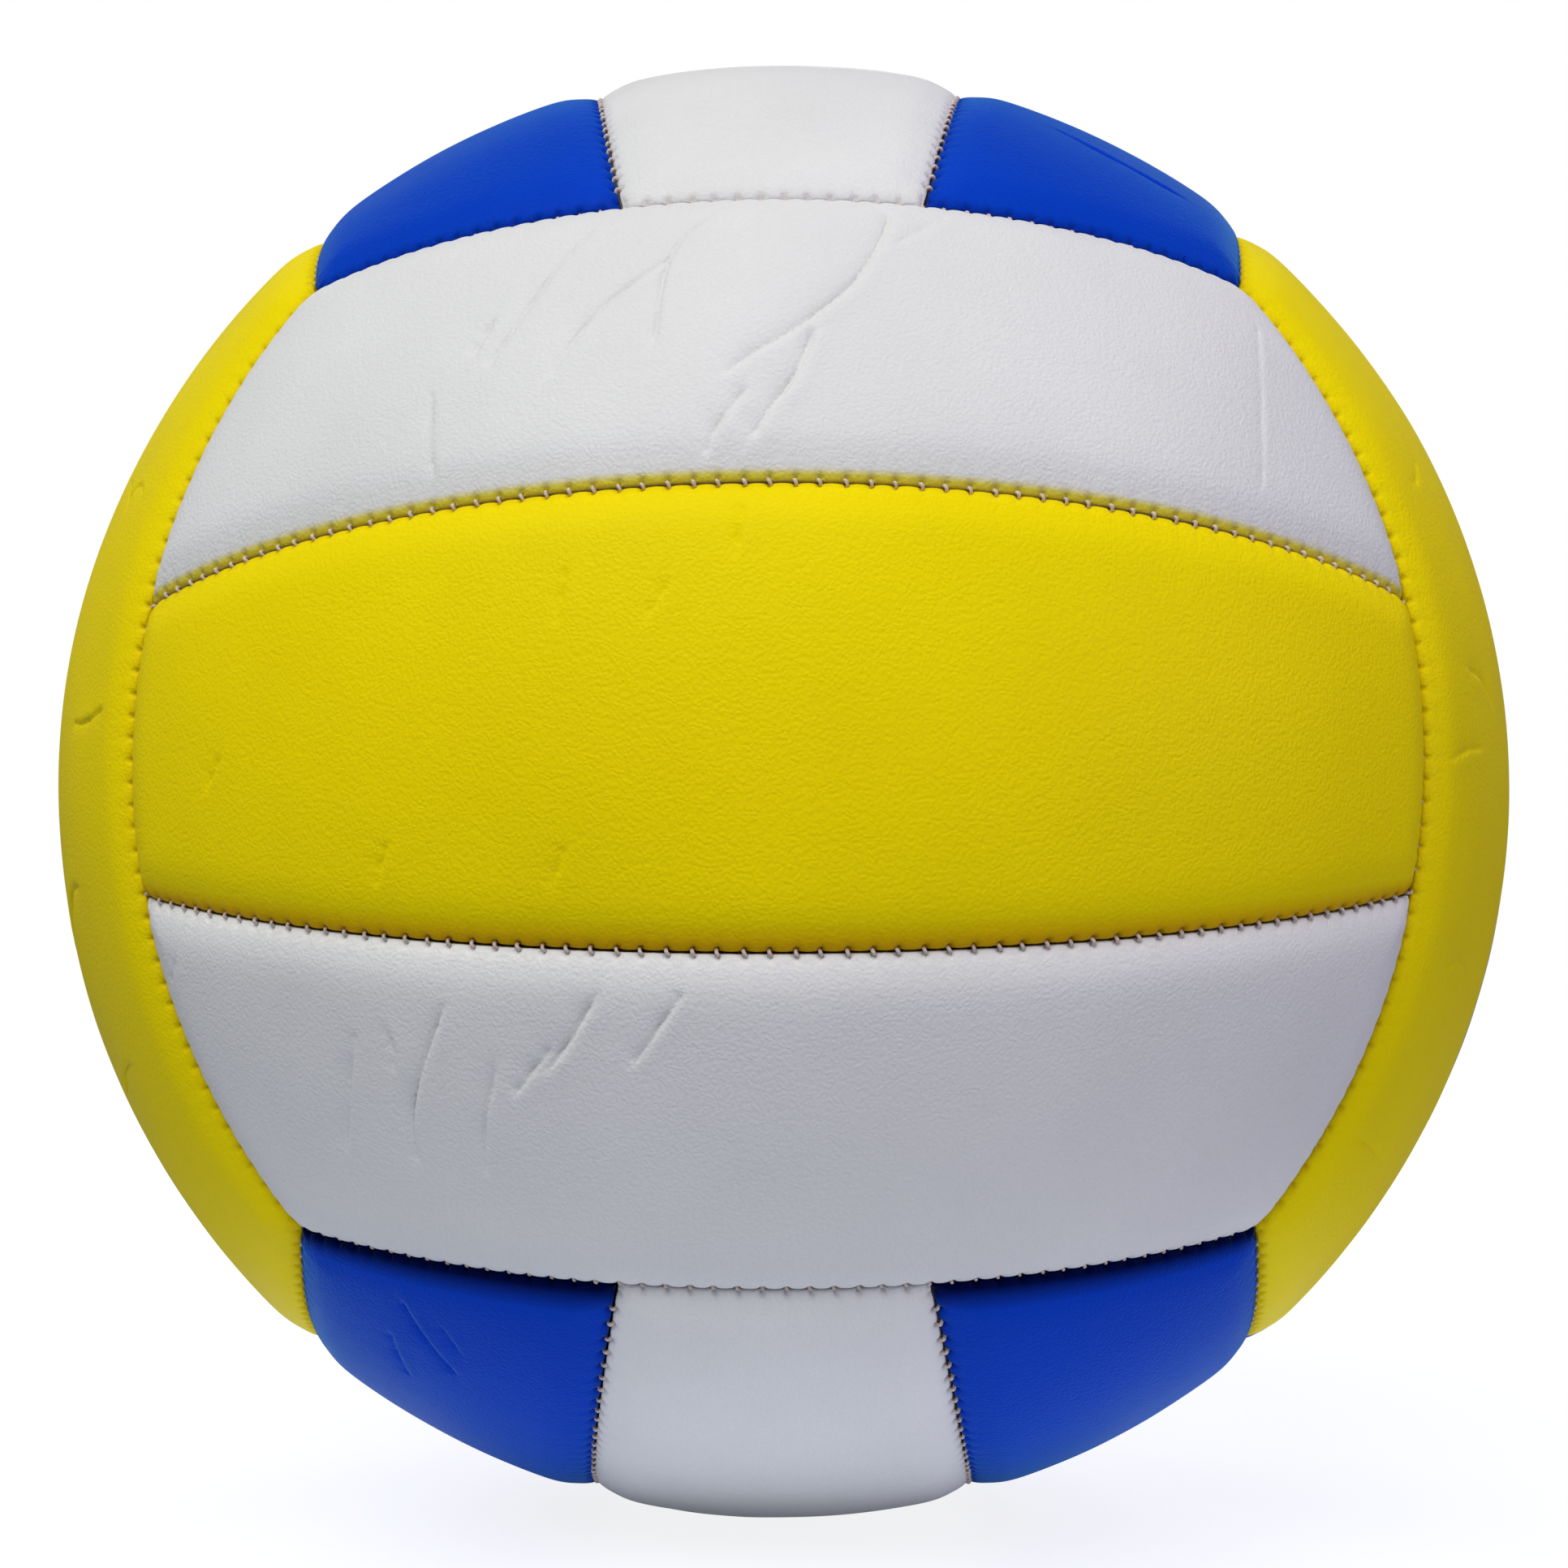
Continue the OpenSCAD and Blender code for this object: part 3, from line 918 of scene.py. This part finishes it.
def open_for_valve(piece):
    """Cuts the panel's hole for the valve's stem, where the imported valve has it."""
    _, stem_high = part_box("valve_body")
    bpy.ops.mesh.primitive_cylinder_add(
        vertices=CUTTER_SIDES,
        radius=STEM_HOLE_RADIUS,
        depth=CUTTER_LENGTH,
        location=(0, stem_high.y, 0),
        rotation=(math.pi / 2, 0, 0),
    )
    cutter = bpy.context.object
    cut = piece.modifiers.new("Valve hole", "BOOLEAN")
    cut.operation = "DIFFERENCE"
    cut.solver = "EXACT"
    cut.object = cutter
    graph = bpy.context.evaluated_depsgraph_get()
    finished = bpy.data.meshes.new_from_object(piece.evaluated_get(graph))
    piece.modifiers.clear()
    piece.data = finished
    bpy.data.objects.remove(cutter)


# Thread

# The run of thread behind the flanges: its depth, its radius, its number of points, and how
# many stitches short of the seam's ends it stops. Then the sides of every thread's section
RUN_DEPTH = 4.4 * MM
RUN_RADIUS = 0.3 * MM
RUN_POINTS = 70
RUN_END = 0.4
THREAD_SIDES = 8

# A stitch's points across the seam, as shares of its reach, and how far they drop below its
# top. In mm, that reach, its slant along the seam, and how much its slant and depth stray.
# How much its thickness strays, as a share, and how much thinner it is at its ends. Then how
# much deeper it lies in a seam between two faces
STITCH_SHARES = np.array([-1.0, -0.72, -0.45, -0.22, 0, 0.22, 0.45, 0.72, 1.0])
STITCH_DROPS = np.array([1.7, 0.9, 0.34, 0.08, 0, 0.08, 0.34, 0.9, 1.7]) * MM
STITCH_REACH = 0.66
SLANT = 0.28
SLANT_STRAY = 0.1
DEPTH_STRAY = 0.08
THICKNESS_STRAY = 0.08
END_THINNING = 0.12
BORDER_SINK = 0.45 * MM

# Added to each thread's number to seed its stitches, which differ from the panels' seeds
THREAD_SEED = 100


def tube(parts, centres, turn, radii):
    """A closed tube along centres, with its round sections square to its run."""
    ways = np.gradient(centres, axis=0)
    ways /= np.linalg.norm(ways, axis=1, keepdims=True)
    centres, ways = centres @ turn.T, ways @ turn.T
    outwards = centres / np.linalg.norm(centres, axis=1, keepdims=True)
    side = np.cross(ways, outwards)
    side /= np.linalg.norm(side, axis=1, keepdims=True)
    top = np.cross(side, ways)
    angle = np.linspace(0, 2 * math.pi, THREAD_SIDES, endpoint=False)
    turned = angle[None, :, None]
    ring = np.cos(turned) * side[:, None] + np.sin(turned) * top[:, None]
    points = centres[:, None] + ring * radii[:, None, None]
    count = len(centres)
    u = np.tile(angle / (2 * math.pi), count)
    v = np.repeat(np.arange(count) / count, THREAD_SIDES)
    first = parts.add(points.reshape(-1, 3), np.stack([u, v], 1))
    index = (first + np.arange(count * THREAD_SIDES).reshape(count, THREAD_SIDES)).tolist()
    for here, ahead in zip(index[:-1], index[1:]):
        parts.band(here, ahead)
    parts.faces.append(index[0])
    parts.faces.append(index[-1][::-1])


def sew(parts, seam, turn, sunk, random):
    """The run of thread behind a seam and the stitches that cross it."""
    stitches = settings().stitches
    sine, cosine = math.sin(seam.cone), math.cos(seam.cone)
    half = (seam.count / 2 - RUN_END) * seam.pitch / (BALL_R * sine)
    angle = np.linspace(-half, half, RUN_POINTS)[:, None]
    ring = np.cos(angle) * seam.toward + np.sin(angle) * seam.along
    run = (cosine * seam.axis + sine * ring) * (BALL_R - RUN_DEPTH)
    tube(parts, run, turn, np.full(len(run), RUN_RADIUS))
    for i in range(1, seam.count - 1):
        place = seam.stitch_place(np.array([float(i)]))[0] / (BALL_R * sine)
        ring = math.cos(place) * seam.toward + math.sin(place) * seam.along
        out = cosine * seam.axis + sine * ring
        along = -math.sin(place) * seam.toward + math.cos(place) * seam.along
        cross = np.cross(along, out)
        slant = (SLANT + random.uniform(-SLANT_STRAY, SLANT_STRAY)) * MM
        stray = random.uniform(-DEPTH_STRAY, DEPTH_STRAY) * MM
        deep = stitches.depth + sunk + stitches.thread + stray
        centres = out * (BALL_R - deep - STITCH_DROPS)[:, None]
        centres = centres + STITCH_SHARES[:, None] * (cross * STITCH_REACH * MM + along * slant)
        thick = stitches.thread * random.uniform(1 - THICKNESS_STRAY, 1 + THICKNESS_STRAY)
        tube(parts, centres, turn, thick * (1 - END_THINNING * STITCH_SHARES**2))


# Materials


class Nodes:
    """A node tree, with short ways to add nodes and join their sockets."""

    def __init__(self, tree):
        self.tree = tree

    def add(self, kind, values=None, **options):
        node = self.tree.nodes.new(kind)
        for key, value in options.items():
            setattr(node, key, value)
        for key, value in (values or {}).items():
            self.feed(node.inputs[key], value)
        return node

    def feed(self, socket, value):
        if isinstance(value, bpy.types.NodeSocket):
            self.tree.links.new(value, socket)
        else:
            socket.default_value = value

    def maths(self, operation, first, second=0.0, third=0.0):
        values = {0: first, 1: second, 2: third}
        return self.add("ShaderNodeMath", values, operation=operation).outputs[0]

    def blend(self, factor, first, second, way="MIX"):
        """Mixes two colours, whose sockets come after the numbers' and the vectors'."""
        values = {"Factor": factor, 6: first, 7: second}
        return self.add("ShaderNodeMix", values, data_type="RGBA", blend_type=way).outputs[2]

    def ranged(self, value, low, high, new_low, new_high):
        """Carries a value from the range low to high to the new range, and stops at its ends."""
        values = {0: value, 1: low, 2: high, 3: new_low, 4: new_high}
        return self.add("ShaderNodeMapRange", values).outputs[0]

    def place(self):
        """Where a point of the surface lies, as metres from the ball's centre."""
        return self.add("ShaderNodeTexCoord").outputs["Object"]

    def noise(self, place, scale, detail=2.0):
        values = {"Vector": place, "Scale": scale, "Detail": detail}
        return self.add("ShaderNodeTexNoise", values).outputs["Fac"]

    def finish(self, surface, colour, roughness, height, strength, distance):
        """Joins what varies over a surface to its shader: colour, roughness and relief."""
        self.feed(surface["Base Color"], colour)
        self.feed(surface["Roughness"], roughness)
        relief = {"Strength": strength, "Distance": distance, "Height": height}
        bump = self.add("ShaderNodeBump", relief)
        self.feed(surface["Normal"], bump.outputs["Normal"])


def group(name, inputs, outputs):
    """A shader node group with named number sockets, and its inner nodes to fill."""
    tree = bpy.data.node_groups.new(name, "ShaderNodeTree")
    for label, default in inputs.items():
        socket = tree.interface.new_socket(label, in_out="INPUT", socket_type="NodeSocketFloat")
        socket.default_value = default
    for label in outputs:
        tree.interface.new_socket(label, in_out="OUTPUT", socket_type="NodeSocketFloat")
    nodes = Nodes(tree)
    return nodes, nodes.add("NodeGroupInput").outputs, nodes.add("NodeGroupOutput").inputs


def leather_grain():
    """Pebbled grain, finer pores between the pebbles, and a slow change of tone."""
    if "Leather grain" in bpy.data.node_groups:
        return bpy.data.node_groups["Leather grain"]
    n, given, out = group(
        "Leather grain", {"Pebbles": 2200.0, "Pores": 0.35}, ("Height", "Tone", "Pebble")
    )
    bend = 0.0011
    pores_per_pebble = 2.3
    place = n.place()
    uneven = n.add("ShaderNodeTexNoise", {"Vector": place, "Scale": 420.0, "Detail": 2.0})
    given_bend = {0: uneven.outputs["Color"], "Scale": bend}
    nudge = n.add("ShaderNodeVectorMath", given_bend, operation="SCALE")
    moved = n.add("ShaderNodeVectorMath", {0: place, 1: nudge.outputs[0]}, operation="ADD")
    moved = moved.outputs[0]
    round_cells = {"Vector": moved, "Scale": given["Pebbles"], "Smoothness": 0.6}
    pebble = n.add("ShaderNodeTexVoronoi", round_cells, feature="SMOOTH_F1")
    domed = n.maths("SUBTRACT", 1.0, pebble.outputs["Distance"])
    pores = n.noise(moved, n.maths("MULTIPLY", given["Pebbles"], pores_per_pebble), 3.0)
    n.feed(out["Height"], n.maths("MULTIPLY_ADD", pores, given["Pores"], domed))
    n.feed(out["Tone"], n.noise(place, 45.0, 4.0))
    n.feed(out["Pebble"], domed)
    return n.tree


def seam_shade():
    """A mask that is 1 on the ball's surface and falls to 0 down in the seams, for painted shade.

    Its two inputs are distances from the ball's centre, over which the shade fades, and noise
    makes them uneven.
    """
    if "Seam dust" in bpy.data.node_groups:
        return bpy.data.node_groups["Seam dust"]
    n, given, out = group("Seam dust", {"Deep": 0.1029, "Clean": 0.1043}, ("Mask",))
    ragged_depth = 0.0005
    place = n.place()
    # The nearer a point lies to the centre, the more painted shade it gets down in the seams
    far = n.add("ShaderNodeVectorMath", {0: place}, operation="LENGTH").outputs["Value"]
    ragged = n.noise(place, 900.0)
    uneven = n.maths("MULTIPLY_ADD", ragged, ragged_depth, far)
    n.feed(out["Mask"], n.ranged(uneven, given["Deep"], given["Clean"], 0.0, 1.0))
    return n.tree


def rgb(colour, factor=1.0):
    return (colour[0] * factor, colour[1] * factor, colour[2] * factor, 1.0)


def new_material(name, values=None):
    """A material, its nodes, and its shader's sockets with the given values set on them."""
    material = bpy.data.materials.new(name)
    material.use_nodes = True
    surface = material.node_tree.nodes["Principled BSDF"].inputs
    for label, value in (values or {}).items():
        surface[label].default_value = value
    return material, Nodes(material.node_tree), surface


def edge_tinted(n, colour, tint):
    """The colour, tinted beside one strip seam or beside the seams at both ends.

    The tint is a painted highlight on the white lower strips, painted shade on the yellow middle
    ones and a painted shadow on the blue bottom ones.
    """
    seam, full_width, width, shade = tint
    place = n.add("ShaderNodeUVMap", uv_map="Map").outputs["UV"]
    split = n.add("ShaderNodeSeparateXYZ", {"Vector": place})
    if seam == "ends":
        nearer_end = n.maths("PINGPONG", split.outputs["X"], 0.5)
        from_seam = n.maths("MULTIPLY", nearer_end, MAP_LENGTH)
    else:
        from_seam = n.maths("MULTIPLY", split.outputs["Y"], MAP_WIDTH / OUTER_FACE_TOP)
    near = n.ranged(from_seam, full_width * MM, width * MM, 1.0, 0.0)
    return n.blend(near, colour, rgb(shade), "MULTIPLY")


def leather_material(name, colour, deep, rough, shine, sheen, tint):
    """Coated leather with a fine grain and a slightly uneven tone.

    It has painted shade between its pebbles and down in its seams, and its tint beside a seam.
    """
    gloss = {
        "Specular IOR Level": shine,
        "Sheen Weight": sheen,
        "Sheen Roughness": SHEEN_ROUGHNESS,
        "Sheen Tint": SHEEN_TINT,
    }
    material, n, surface = new_material(name + "_leather", gloss)
    dull, bright, hollow_shade = rgb(colour, 0.965), rgb(colour, 1.02), rgb(colour, 0.9)
    grain = n.add("ShaderNodeGroup", node_tree=leather_grain()).outputs
    # Darker down in the seams: painted shade
    seam_shade_mask = n.add("ShaderNodeGroup", node_tree=seam_shade()).outputs
    uneven = n.blend(n.ranged(grain["Tone"], 0.3, 0.7, 0.0, 1.0), dull, bright)
    # A little darker between the pebbles: painted shade
    between = n.ranged(grain["Pebble"], 0.35, 0.75, 0.2, 0.0)
    pebbled = n.blend(between, uneven, hollow_shade)
    seamed = n.blend(seam_shade_mask["Mask"], rgb(deep), pebbled)
    if tint:
        seamed = edge_tinted(n, seamed, tint)
    roughness = n.ranged(grain["Tone"], 0.3, 0.7, rough - 0.04, rough + 0.05)
    n.finish(surface, seamed, roughness, grain["Height"], strength=0.8, distance=0.09 * MM)
    return material


def thread_material():
    """Waxed polyester thread: twisted strands, painted shade between them, and slightly uneven dye.
    """
    material, n, surface = new_material("stitching_thread")
    colour = settings().colours.thread
    dull, bright, shaded = rgb(colour, 0.82), rgb(colour, 1.08), rgb(colour, 0.6)
    place = n.place()
    twist = n.add("ShaderNodeTexWave", {"Vector": place, "Scale": 950.0, "Distortion": 3.0})
    twist.bands_direction = "DIAGONAL"
    strands = twist.outputs["Fac"]
    dye = n.noise(place, 400.0)
    # Darker between the twisted strands: painted shade
    dyed_and_shaded = n.blend(n.maths("MULTIPLY", strands, 0.4), n.blend(dye, dull, bright), shaded)
    roughness = n.ranged(dye, 0.3, 0.7, 0.5, 0.68)
    n.finish(surface, dyed_and_shaded, roughness, strands, strength=0.6, distance=0.06 * MM)
    return material


def foam_material():
    """Open-celled foam, with painted shade in its pores."""
    material, n, surface = new_material("padding_foam")
    # The pores' darker colour is painted shade; the walls' colour is the foam's own
    pore, wall = (0.46, 0.42, 0.33), (0.70, 0.66, 0.55)
    cells = n.add("ShaderNodeTexVoronoi", {"Vector": n.place(), "Scale": 1300.0})
    depth = n.ranged(cells.outputs["Distance"], 0.1, 0.7, 0.0, 1.0)
    colour = n.blend(depth, rgb(pore), rgb(wall))
    roughness = n.ranged(depth, 0, 1, 0.95, 0.8)
    n.finish(surface, colour, roughness, depth, strength=0.8, distance=0.25 * MM)
    return material


def cloth_material():
    """Plain-woven lining cloth, its threads 0.9 mm apart, with painted shade in its weave's
    hollows.
    """
    material, n, surface = new_material("lining_cloth")
    # The hollows' darker colour is painted shade; the crests' colour is the cloth's own
    hollow_shade, crest = (0.44, 0.41, 0.34), (0.66, 0.62, 0.53)
    turns_per_metre = 7000.0
    split = n.add("ShaderNodeSeparateXYZ", {"Vector": n.place()})
    weave = None
    for axis in "XYZ":
        stripes = n.maths("SINE", n.maths("MULTIPLY", split.outputs[axis], turns_per_metre))
        weave = stripes if weave is None else n.maths("ADD", weave, stripes)
    height = n.ranged(weave, -2.0, 2.0, 0.0, 1.0)
    colour = n.blend(height, rgb(hollow_shade), rgb(crest))
    roughness = n.ranged(height, 0, 1, 0.92, 0.78)
    n.finish(surface, colour, roughness, height, strength=0.7, distance=0.15 * MM)
    return material


def rubber_material(name, dark, light, rough):
    """Moulded rubber with a faint bloom."""
    material, n, surface = new_material(name)
    place = n.place()
    bloom = n.noise(place, 160.0, 5.0)
    pits = n.noise(place, 2500.0)
    colour = n.blend(n.ranged(bloom, 0.35, 0.7, 0.0, 1.0), rgb(dark), rgb(light))
    roughness = n.ranged(bloom, 0.3, 0.7, rough - 0.06, rough + 0.1)
    n.finish(surface, colour, roughness, pits, strength=0.4, distance=0.05 * MM)
    return material


def dress(piece, material):
    """Gives a CAD node or a new piece this one material."""
    mesh = piece.data
    mesh.materials.clear()
    mesh.materials.append(material)


# Operators


class VOLLEYBALL_OT_cover_panels(bpy.types.Operator):
    """Makes the eighteen padded leather panels in place of the plain ones"""

    bl_idname = "volleyball.cover_panels"
    bl_label = "Cover panels"

    def execute(self, context):
        colours = settings().colours
        seams = Seams()
        outer, middle = Outline(seams, False), Outline(seams, True)
        leathers = {}
        seed = 0
        for face, (turn, strips, kinds) in FACES.items():
            for place, strip, kind in zip(("upper", "middle", "lower"), strips, kinds):
                seed += 1
                random = np.random.default_rng(seed)
                name = face + "_" + strip
                outline = middle if place == "middle" else outer
                flipped = place == "lower"
                whole = turn @ LOWER if flipped else turn
                piece = cover_panel(name, outline, whole, flipped, random)
                if name == "back_middle":
                    open_for_valve(piece)
                where = kind + "_" + (face if face in ("top", "bottom") else place)
                # Strips with a tint beside their seams take their own leather; on all but the white
                # upper strips that tint is painted light
                tint = SEAM_TINTS_AND_PAINTED_LIGHT.get(where)
                leather = where if tint else kind
                if leather not in leathers:
                    look = (getattr(colours, kind), *LEATHERS[kind], tint)
                    leathers[leather] = leather_material(leather, *look)
                dress(piece, leathers[leather])
                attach(piece, BODY)
                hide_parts(name + "_panel")
        return {"FINISHED"}


class VOLLEYBALL_OT_stitching(bpy.types.Operator):
    """Sews the twenty-four seams with thread"""

    bl_idname = "volleyball.stitching"
    bl_label = "Stitching"

    def execute(self, context):
        seams = Seams()
        thread = thread_material()
        strip, border = seams.strip_from_above, seams.long_side
        sewn = {}
        for face, (turn, _, _) in FACES.items():
            sewn[face + "_strip_thread"] = [(strip, turn), (strip.mirrored(), turn)]
        for name, turn in BORDER_THREADS.items():
            sewn[name] = [
                (border, turn),
                (border.mirrored(), turn),
                (border, turn @ BACK),
                (border.mirrored(), turn @ BACK),
            ]
        for seed, (name, runs) in enumerate(sewn.items()):
            random = np.random.default_rng(THREAD_SEED + seed)
            parts = MeshParts()
            sunk = BORDER_SINK if name in BORDER_THREADS else 0.0
            for seam, turn in runs:
                sew(parts, seam, turn, sunk, random)
            piece = parts.build(name.replace("_thread", "_stitches"), np.eye(3), False)
            dress(piece, thread)
            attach(piece, BODY)
            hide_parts(name)
        return {"FINISHED"}


class VOLLEYBALL_OT_padding(bpy.types.Operator):
    """Finishes the foam pads and the cloth linings under the cover"""

    bl_idname = "volleyball.padding"
    bl_label = "Padding and linings"

    def execute(self, context):
        foam, cloth = foam_material(), cloth_material()
        for name, node in frame["nodes"].items():
            if name.endswith("_foam"):
                dress(node, foam)
            if name.endswith("_lining"):
                dress(node, cloth)
        return {"FINISHED"}


class VOLLEYBALL_OT_bladder_and_valve(bpy.types.Operator):
    """Finishes the rubber bladder and the parts of its valve"""

    bl_idname = "volleyball.bladder_and_valve"
    bl_label = "Bladder and valve"

    def execute(self, context):
        nodes = frame["nodes"]
        rubbers = {name: rubber_material(name, *look) for name, look in RUBBERS.items()}
        dress(nodes["bladder"], rubbers["bladder_rubber"])
        dress(nodes["valve_body"], rubbers["valve_rubber"])
        dress(nodes["valve_core"], rubbers["core_rubber"])
        dress(nodes["valve_patch"], rubbers["core_rubber"])
        return {"FINISHED"}


class VOLLEYBALL_OT_studio(bpy.types.Operator):
    """Sets the pale floor, the soft lamps and the photograph's camera"""

    bl_idname = "volleyball.studio"
    bl_label = "Studio"

    def execute(self, context):
        make_floor()
        make_world()
        for name, (power, size, far, place, colour, in_gloss) in LAMPS.items():
            watts = getattr(settings().light, power)
            soft_lamp(name, watts, size, far * direction(*place), colour, in_gloss)
        make_camera(context.scene)
        context.scene.view_settings.view_transform = "Standard"
        return {"FINISHED"}


# Studio

# The floor's radius in metres, its sides, how far below the ball it lies, and the colours of
# its paper. The distances from the ball's foot over which its light on the ball rises, then
# falls, that light's colour, and its share right under the ball: that light is painted bounce
# light, a glow of the paper which the camera doesn't see. Then the distances over which the
# glow that the camera sees rises, and its strength under the ball
FLOOR_RADIUS = 6.0
FLOOR_SIDES = 128
FLOOR_GAP = 0.0002
PAPER_COLOURS = ((0.19, 0.21, 0.25), (0.21, 0.23, 0.27))
LIGHT_RISE = (0.04, 0.06)
LIGHT_FALL = (0.12, 0.15)
LIGHT_COLOUR = (0.98, 1.01, 1.08)
LIGHT_UNDER_BALL = 0.2
GLOW_RISE = (0.25, 0.7)
GLOW_UNDER_BALL = 0.84
WHITE_LIGHT = (1, 1, 1, 1)


def floor_material():
    """Paper that glows white for the camera, lights the ball, and is clear from below.

    Round the ball's foot it glows for all rays but the camera's: painted bounce light.
    """
    values = {"Roughness": 0.9, "Specular IOR Level": 0.1}
    material, n, surface = new_material("studio_floor", values)
    floor_light = settings().light.floor_light
    place = n.add("ShaderNodeTexCoord").outputs["Object"]
    paper = n.noise(place, 300.0, 3.0)
    pale = n.blend(paper, *(rgb(colour) for colour in PAPER_COLOURS))
    n.feed(surface["Base Color"], pale)
    away = n.add("ShaderNodeVectorMath", {0: place}, operation="LENGTH").outputs["Value"]
    lit = surface["Base Color"].node.outputs[0]
    # A glow round the ball's foot that the camera doesn't see: painted bounce light on the ball's
    # underside
    under = n.add("ShaderNodeEmission", {"Color": rgb(LIGHT_COLOUR)})
    rise = n.ranged(away, *LIGHT_RISE, LIGHT_UNDER_BALL * floor_light, floor_light)
    fall = n.ranged(away, *LIGHT_FALL, 1.0, 0.0)
    n.feed(under.inputs["Strength"], n.maths("MULTIPLY", rise, fall))
    lit_and_glowing = n.add("ShaderNodeAddShader", {0: lit, 1: under.outputs[0]})
    glow = n.add("ShaderNodeEmission", {"Color": WHITE_LIGHT})
    n.feed(glow.inputs["Strength"], n.ranged(away, *GLOW_RISE, GLOW_UNDER_BALL, 1.0))
    shown = n.add("ShaderNodeAddShader", {0: lit, 1: glow.outputs[0]})
    seen = n.add("ShaderNodeLightPath").outputs["Is Camera Ray"]
    choose = n.add("ShaderNodeMixShader", {0: seen, 1: lit_and_glowing.outputs[0], 2: shown.outputs[0]})
    underside = n.add("ShaderNodeNewGeometry").outputs["Backfacing"]
    clear = n.add("ShaderNodeBsdfTransparent").outputs[0]
    one_sided = n.add("ShaderNodeMixShader", {0: underside, 1: choose.outputs[0], 2: clear})
    n.feed(n.tree.nodes["Material Output"].inputs["Surface"], one_sided.outputs[0])
    return material


def make_floor():
    bpy.ops.mesh.primitive_circle_add(
        vertices=FLOOR_SIDES,
        radius=FLOOR_RADIUS,
        fill_type="NGON",
        location=(0, 0, cad_low.z - FLOOR_GAP),
    )
    floor = bpy.context.object
    floor.name = "studio_floor"
    dress(floor, floor_material())


def make_world():
    world = bpy.data.worlds.new("Studio")
    bpy.context.scene.world = world
    world.use_nodes = True
    n = Nodes(world.node_tree)
    surroundings = n.tree.nodes["Background"]
    surroundings.inputs["Color"].default_value = rgb(SURROUNDINGS_COLOUR)
    surroundings.inputs["Strength"].default_value = settings().light.ambient
    backdrop = n.add("ShaderNodeBackground", {"Color": WHITE_LIGHT, "Strength": 1.0})
    seen = n.add("ShaderNodeLightPath").outputs["Is Camera Ray"]
    sides = {0: seen, 1: surroundings.outputs[0], 2: backdrop.outputs[0]}
    choose = n.add("ShaderNodeMixShader", sides)
    n.feed(n.tree.nodes["World Output"].inputs["Surface"], choose.outputs[0])


def soft_lamp(name, power, size, place, colour, in_gloss):
    data = bpy.data.lights.new(name, "AREA")
    data.shape = "DISK"
    data.size = size
    data.energy = power
    data.color = colour
    lamp = bpy.data.objects.new(name, data)
    lamp.visible_glossy = in_gloss
    lamp.location = place
    lamp.rotation_mode = "QUATERNION"
    lamp.rotation_quaternion = (-Vector(place)).to_track_quat("-Z", "Y")
    bpy.context.scene.collection.objects.link(lamp)


def make_camera(scene):
    data = bpy.data.cameras.new("Photo camera")
    data.sensor_width = SENSOR_MM
    data.lens = FOCAL_PIXELS * SENSOR_MM / PHOTO_WIDTH
    data.shift_y = BALL_BELOW_CENTRE_PIXELS / PHOTO_WIDTH
    data.clip_start = NEAREST_SEEN
    data.clip_end = FARTHEST_SEEN
    camera = bpy.data.objects.new("Photo camera", data)
    turned = (
        Matrix.Rotation(math.radians(CAMERA_ROLL), 3, "Y")
        @ Matrix.Rotation(math.radians(CAMERA_PITCH), 3, "X")
        @ Matrix.Rotation(math.radians(CAMERA_YAW), 3, "Z")
    ).transposed()
    facing = Matrix.Rotation(math.pi / 2, 3, "X")
    place = turned @ Vector((0, -CAMERA_RADII * BALL_R, 0))
    camera.matrix_world = Matrix.Translation(place) @ (turned @ facing).to_4x4()
    scene.collection.objects.link(camera)
    scene.camera = camera


# Add-on


class VolleyballSettings(bpy.types.PropertyGroup):
    """All that a user would change"""

    layout: PointerProperty(type=BallLayout)
    cover: PointerProperty(type=CoverShape)
    stitches: PointerProperty(type=StitchShape)
    colours: PointerProperty(type=BallColours)
    light: PointerProperty(type=StudioLight)


class VOLLEYBALL_PT_panel(bpy.types.Panel):
    """Lists what the volleyball is made of"""

    bl_idname = "VOLLEYBALL_PT_panel"
    bl_label = "Volleyball"
    bl_space_type = "VIEW_3D"
    bl_region_type = "UI"
    bl_category = "Volleyball"

    def draw(self, context):
        chosen = context.scene.volleyball
        for part in (chosen.layout, chosen.cover, chosen.stitches, chosen.colours, chosen.light):
            box = self.layout.box()
            for name in part.__annotations__:
                box.prop(part, name)
        for operator in OPERATORS:
            self.layout.operator(operator.bl_idname)


OPERATORS = (
    VOLLEYBALL_OT_cover_panels,
    VOLLEYBALL_OT_stitching,
    VOLLEYBALL_OT_padding,
    VOLLEYBALL_OT_bladder_and_valve,
    VOLLEYBALL_OT_studio,
)
CLASSES = (
    BallLayout,
    CoverShape,
    StitchShape,
    BallColours,
    StudioLight,
    VolleyballSettings,
    *OPERATORS,
    VOLLEYBALL_PT_panel,
)


def register():
    for item in CLASSES:
        bpy.utils.register_class(item)
    bpy.types.Scene.volleyball = PointerProperty(type=VolleyballSettings)


def unregister():
    del bpy.types.Scene.volleyball
    for item in reversed(CLASSES):
        bpy.utils.unregister_class(item)


def main():
    register()
    bpy.ops.volleyball.cover_panels()
    bpy.ops.volleyball.stitching()
    bpy.ops.volleyball.padding()
    bpy.ops.volleyball.bladder_and_valve()
    bpy.ops.volleyball.studio()


if __name__ == "__main__":
    main()
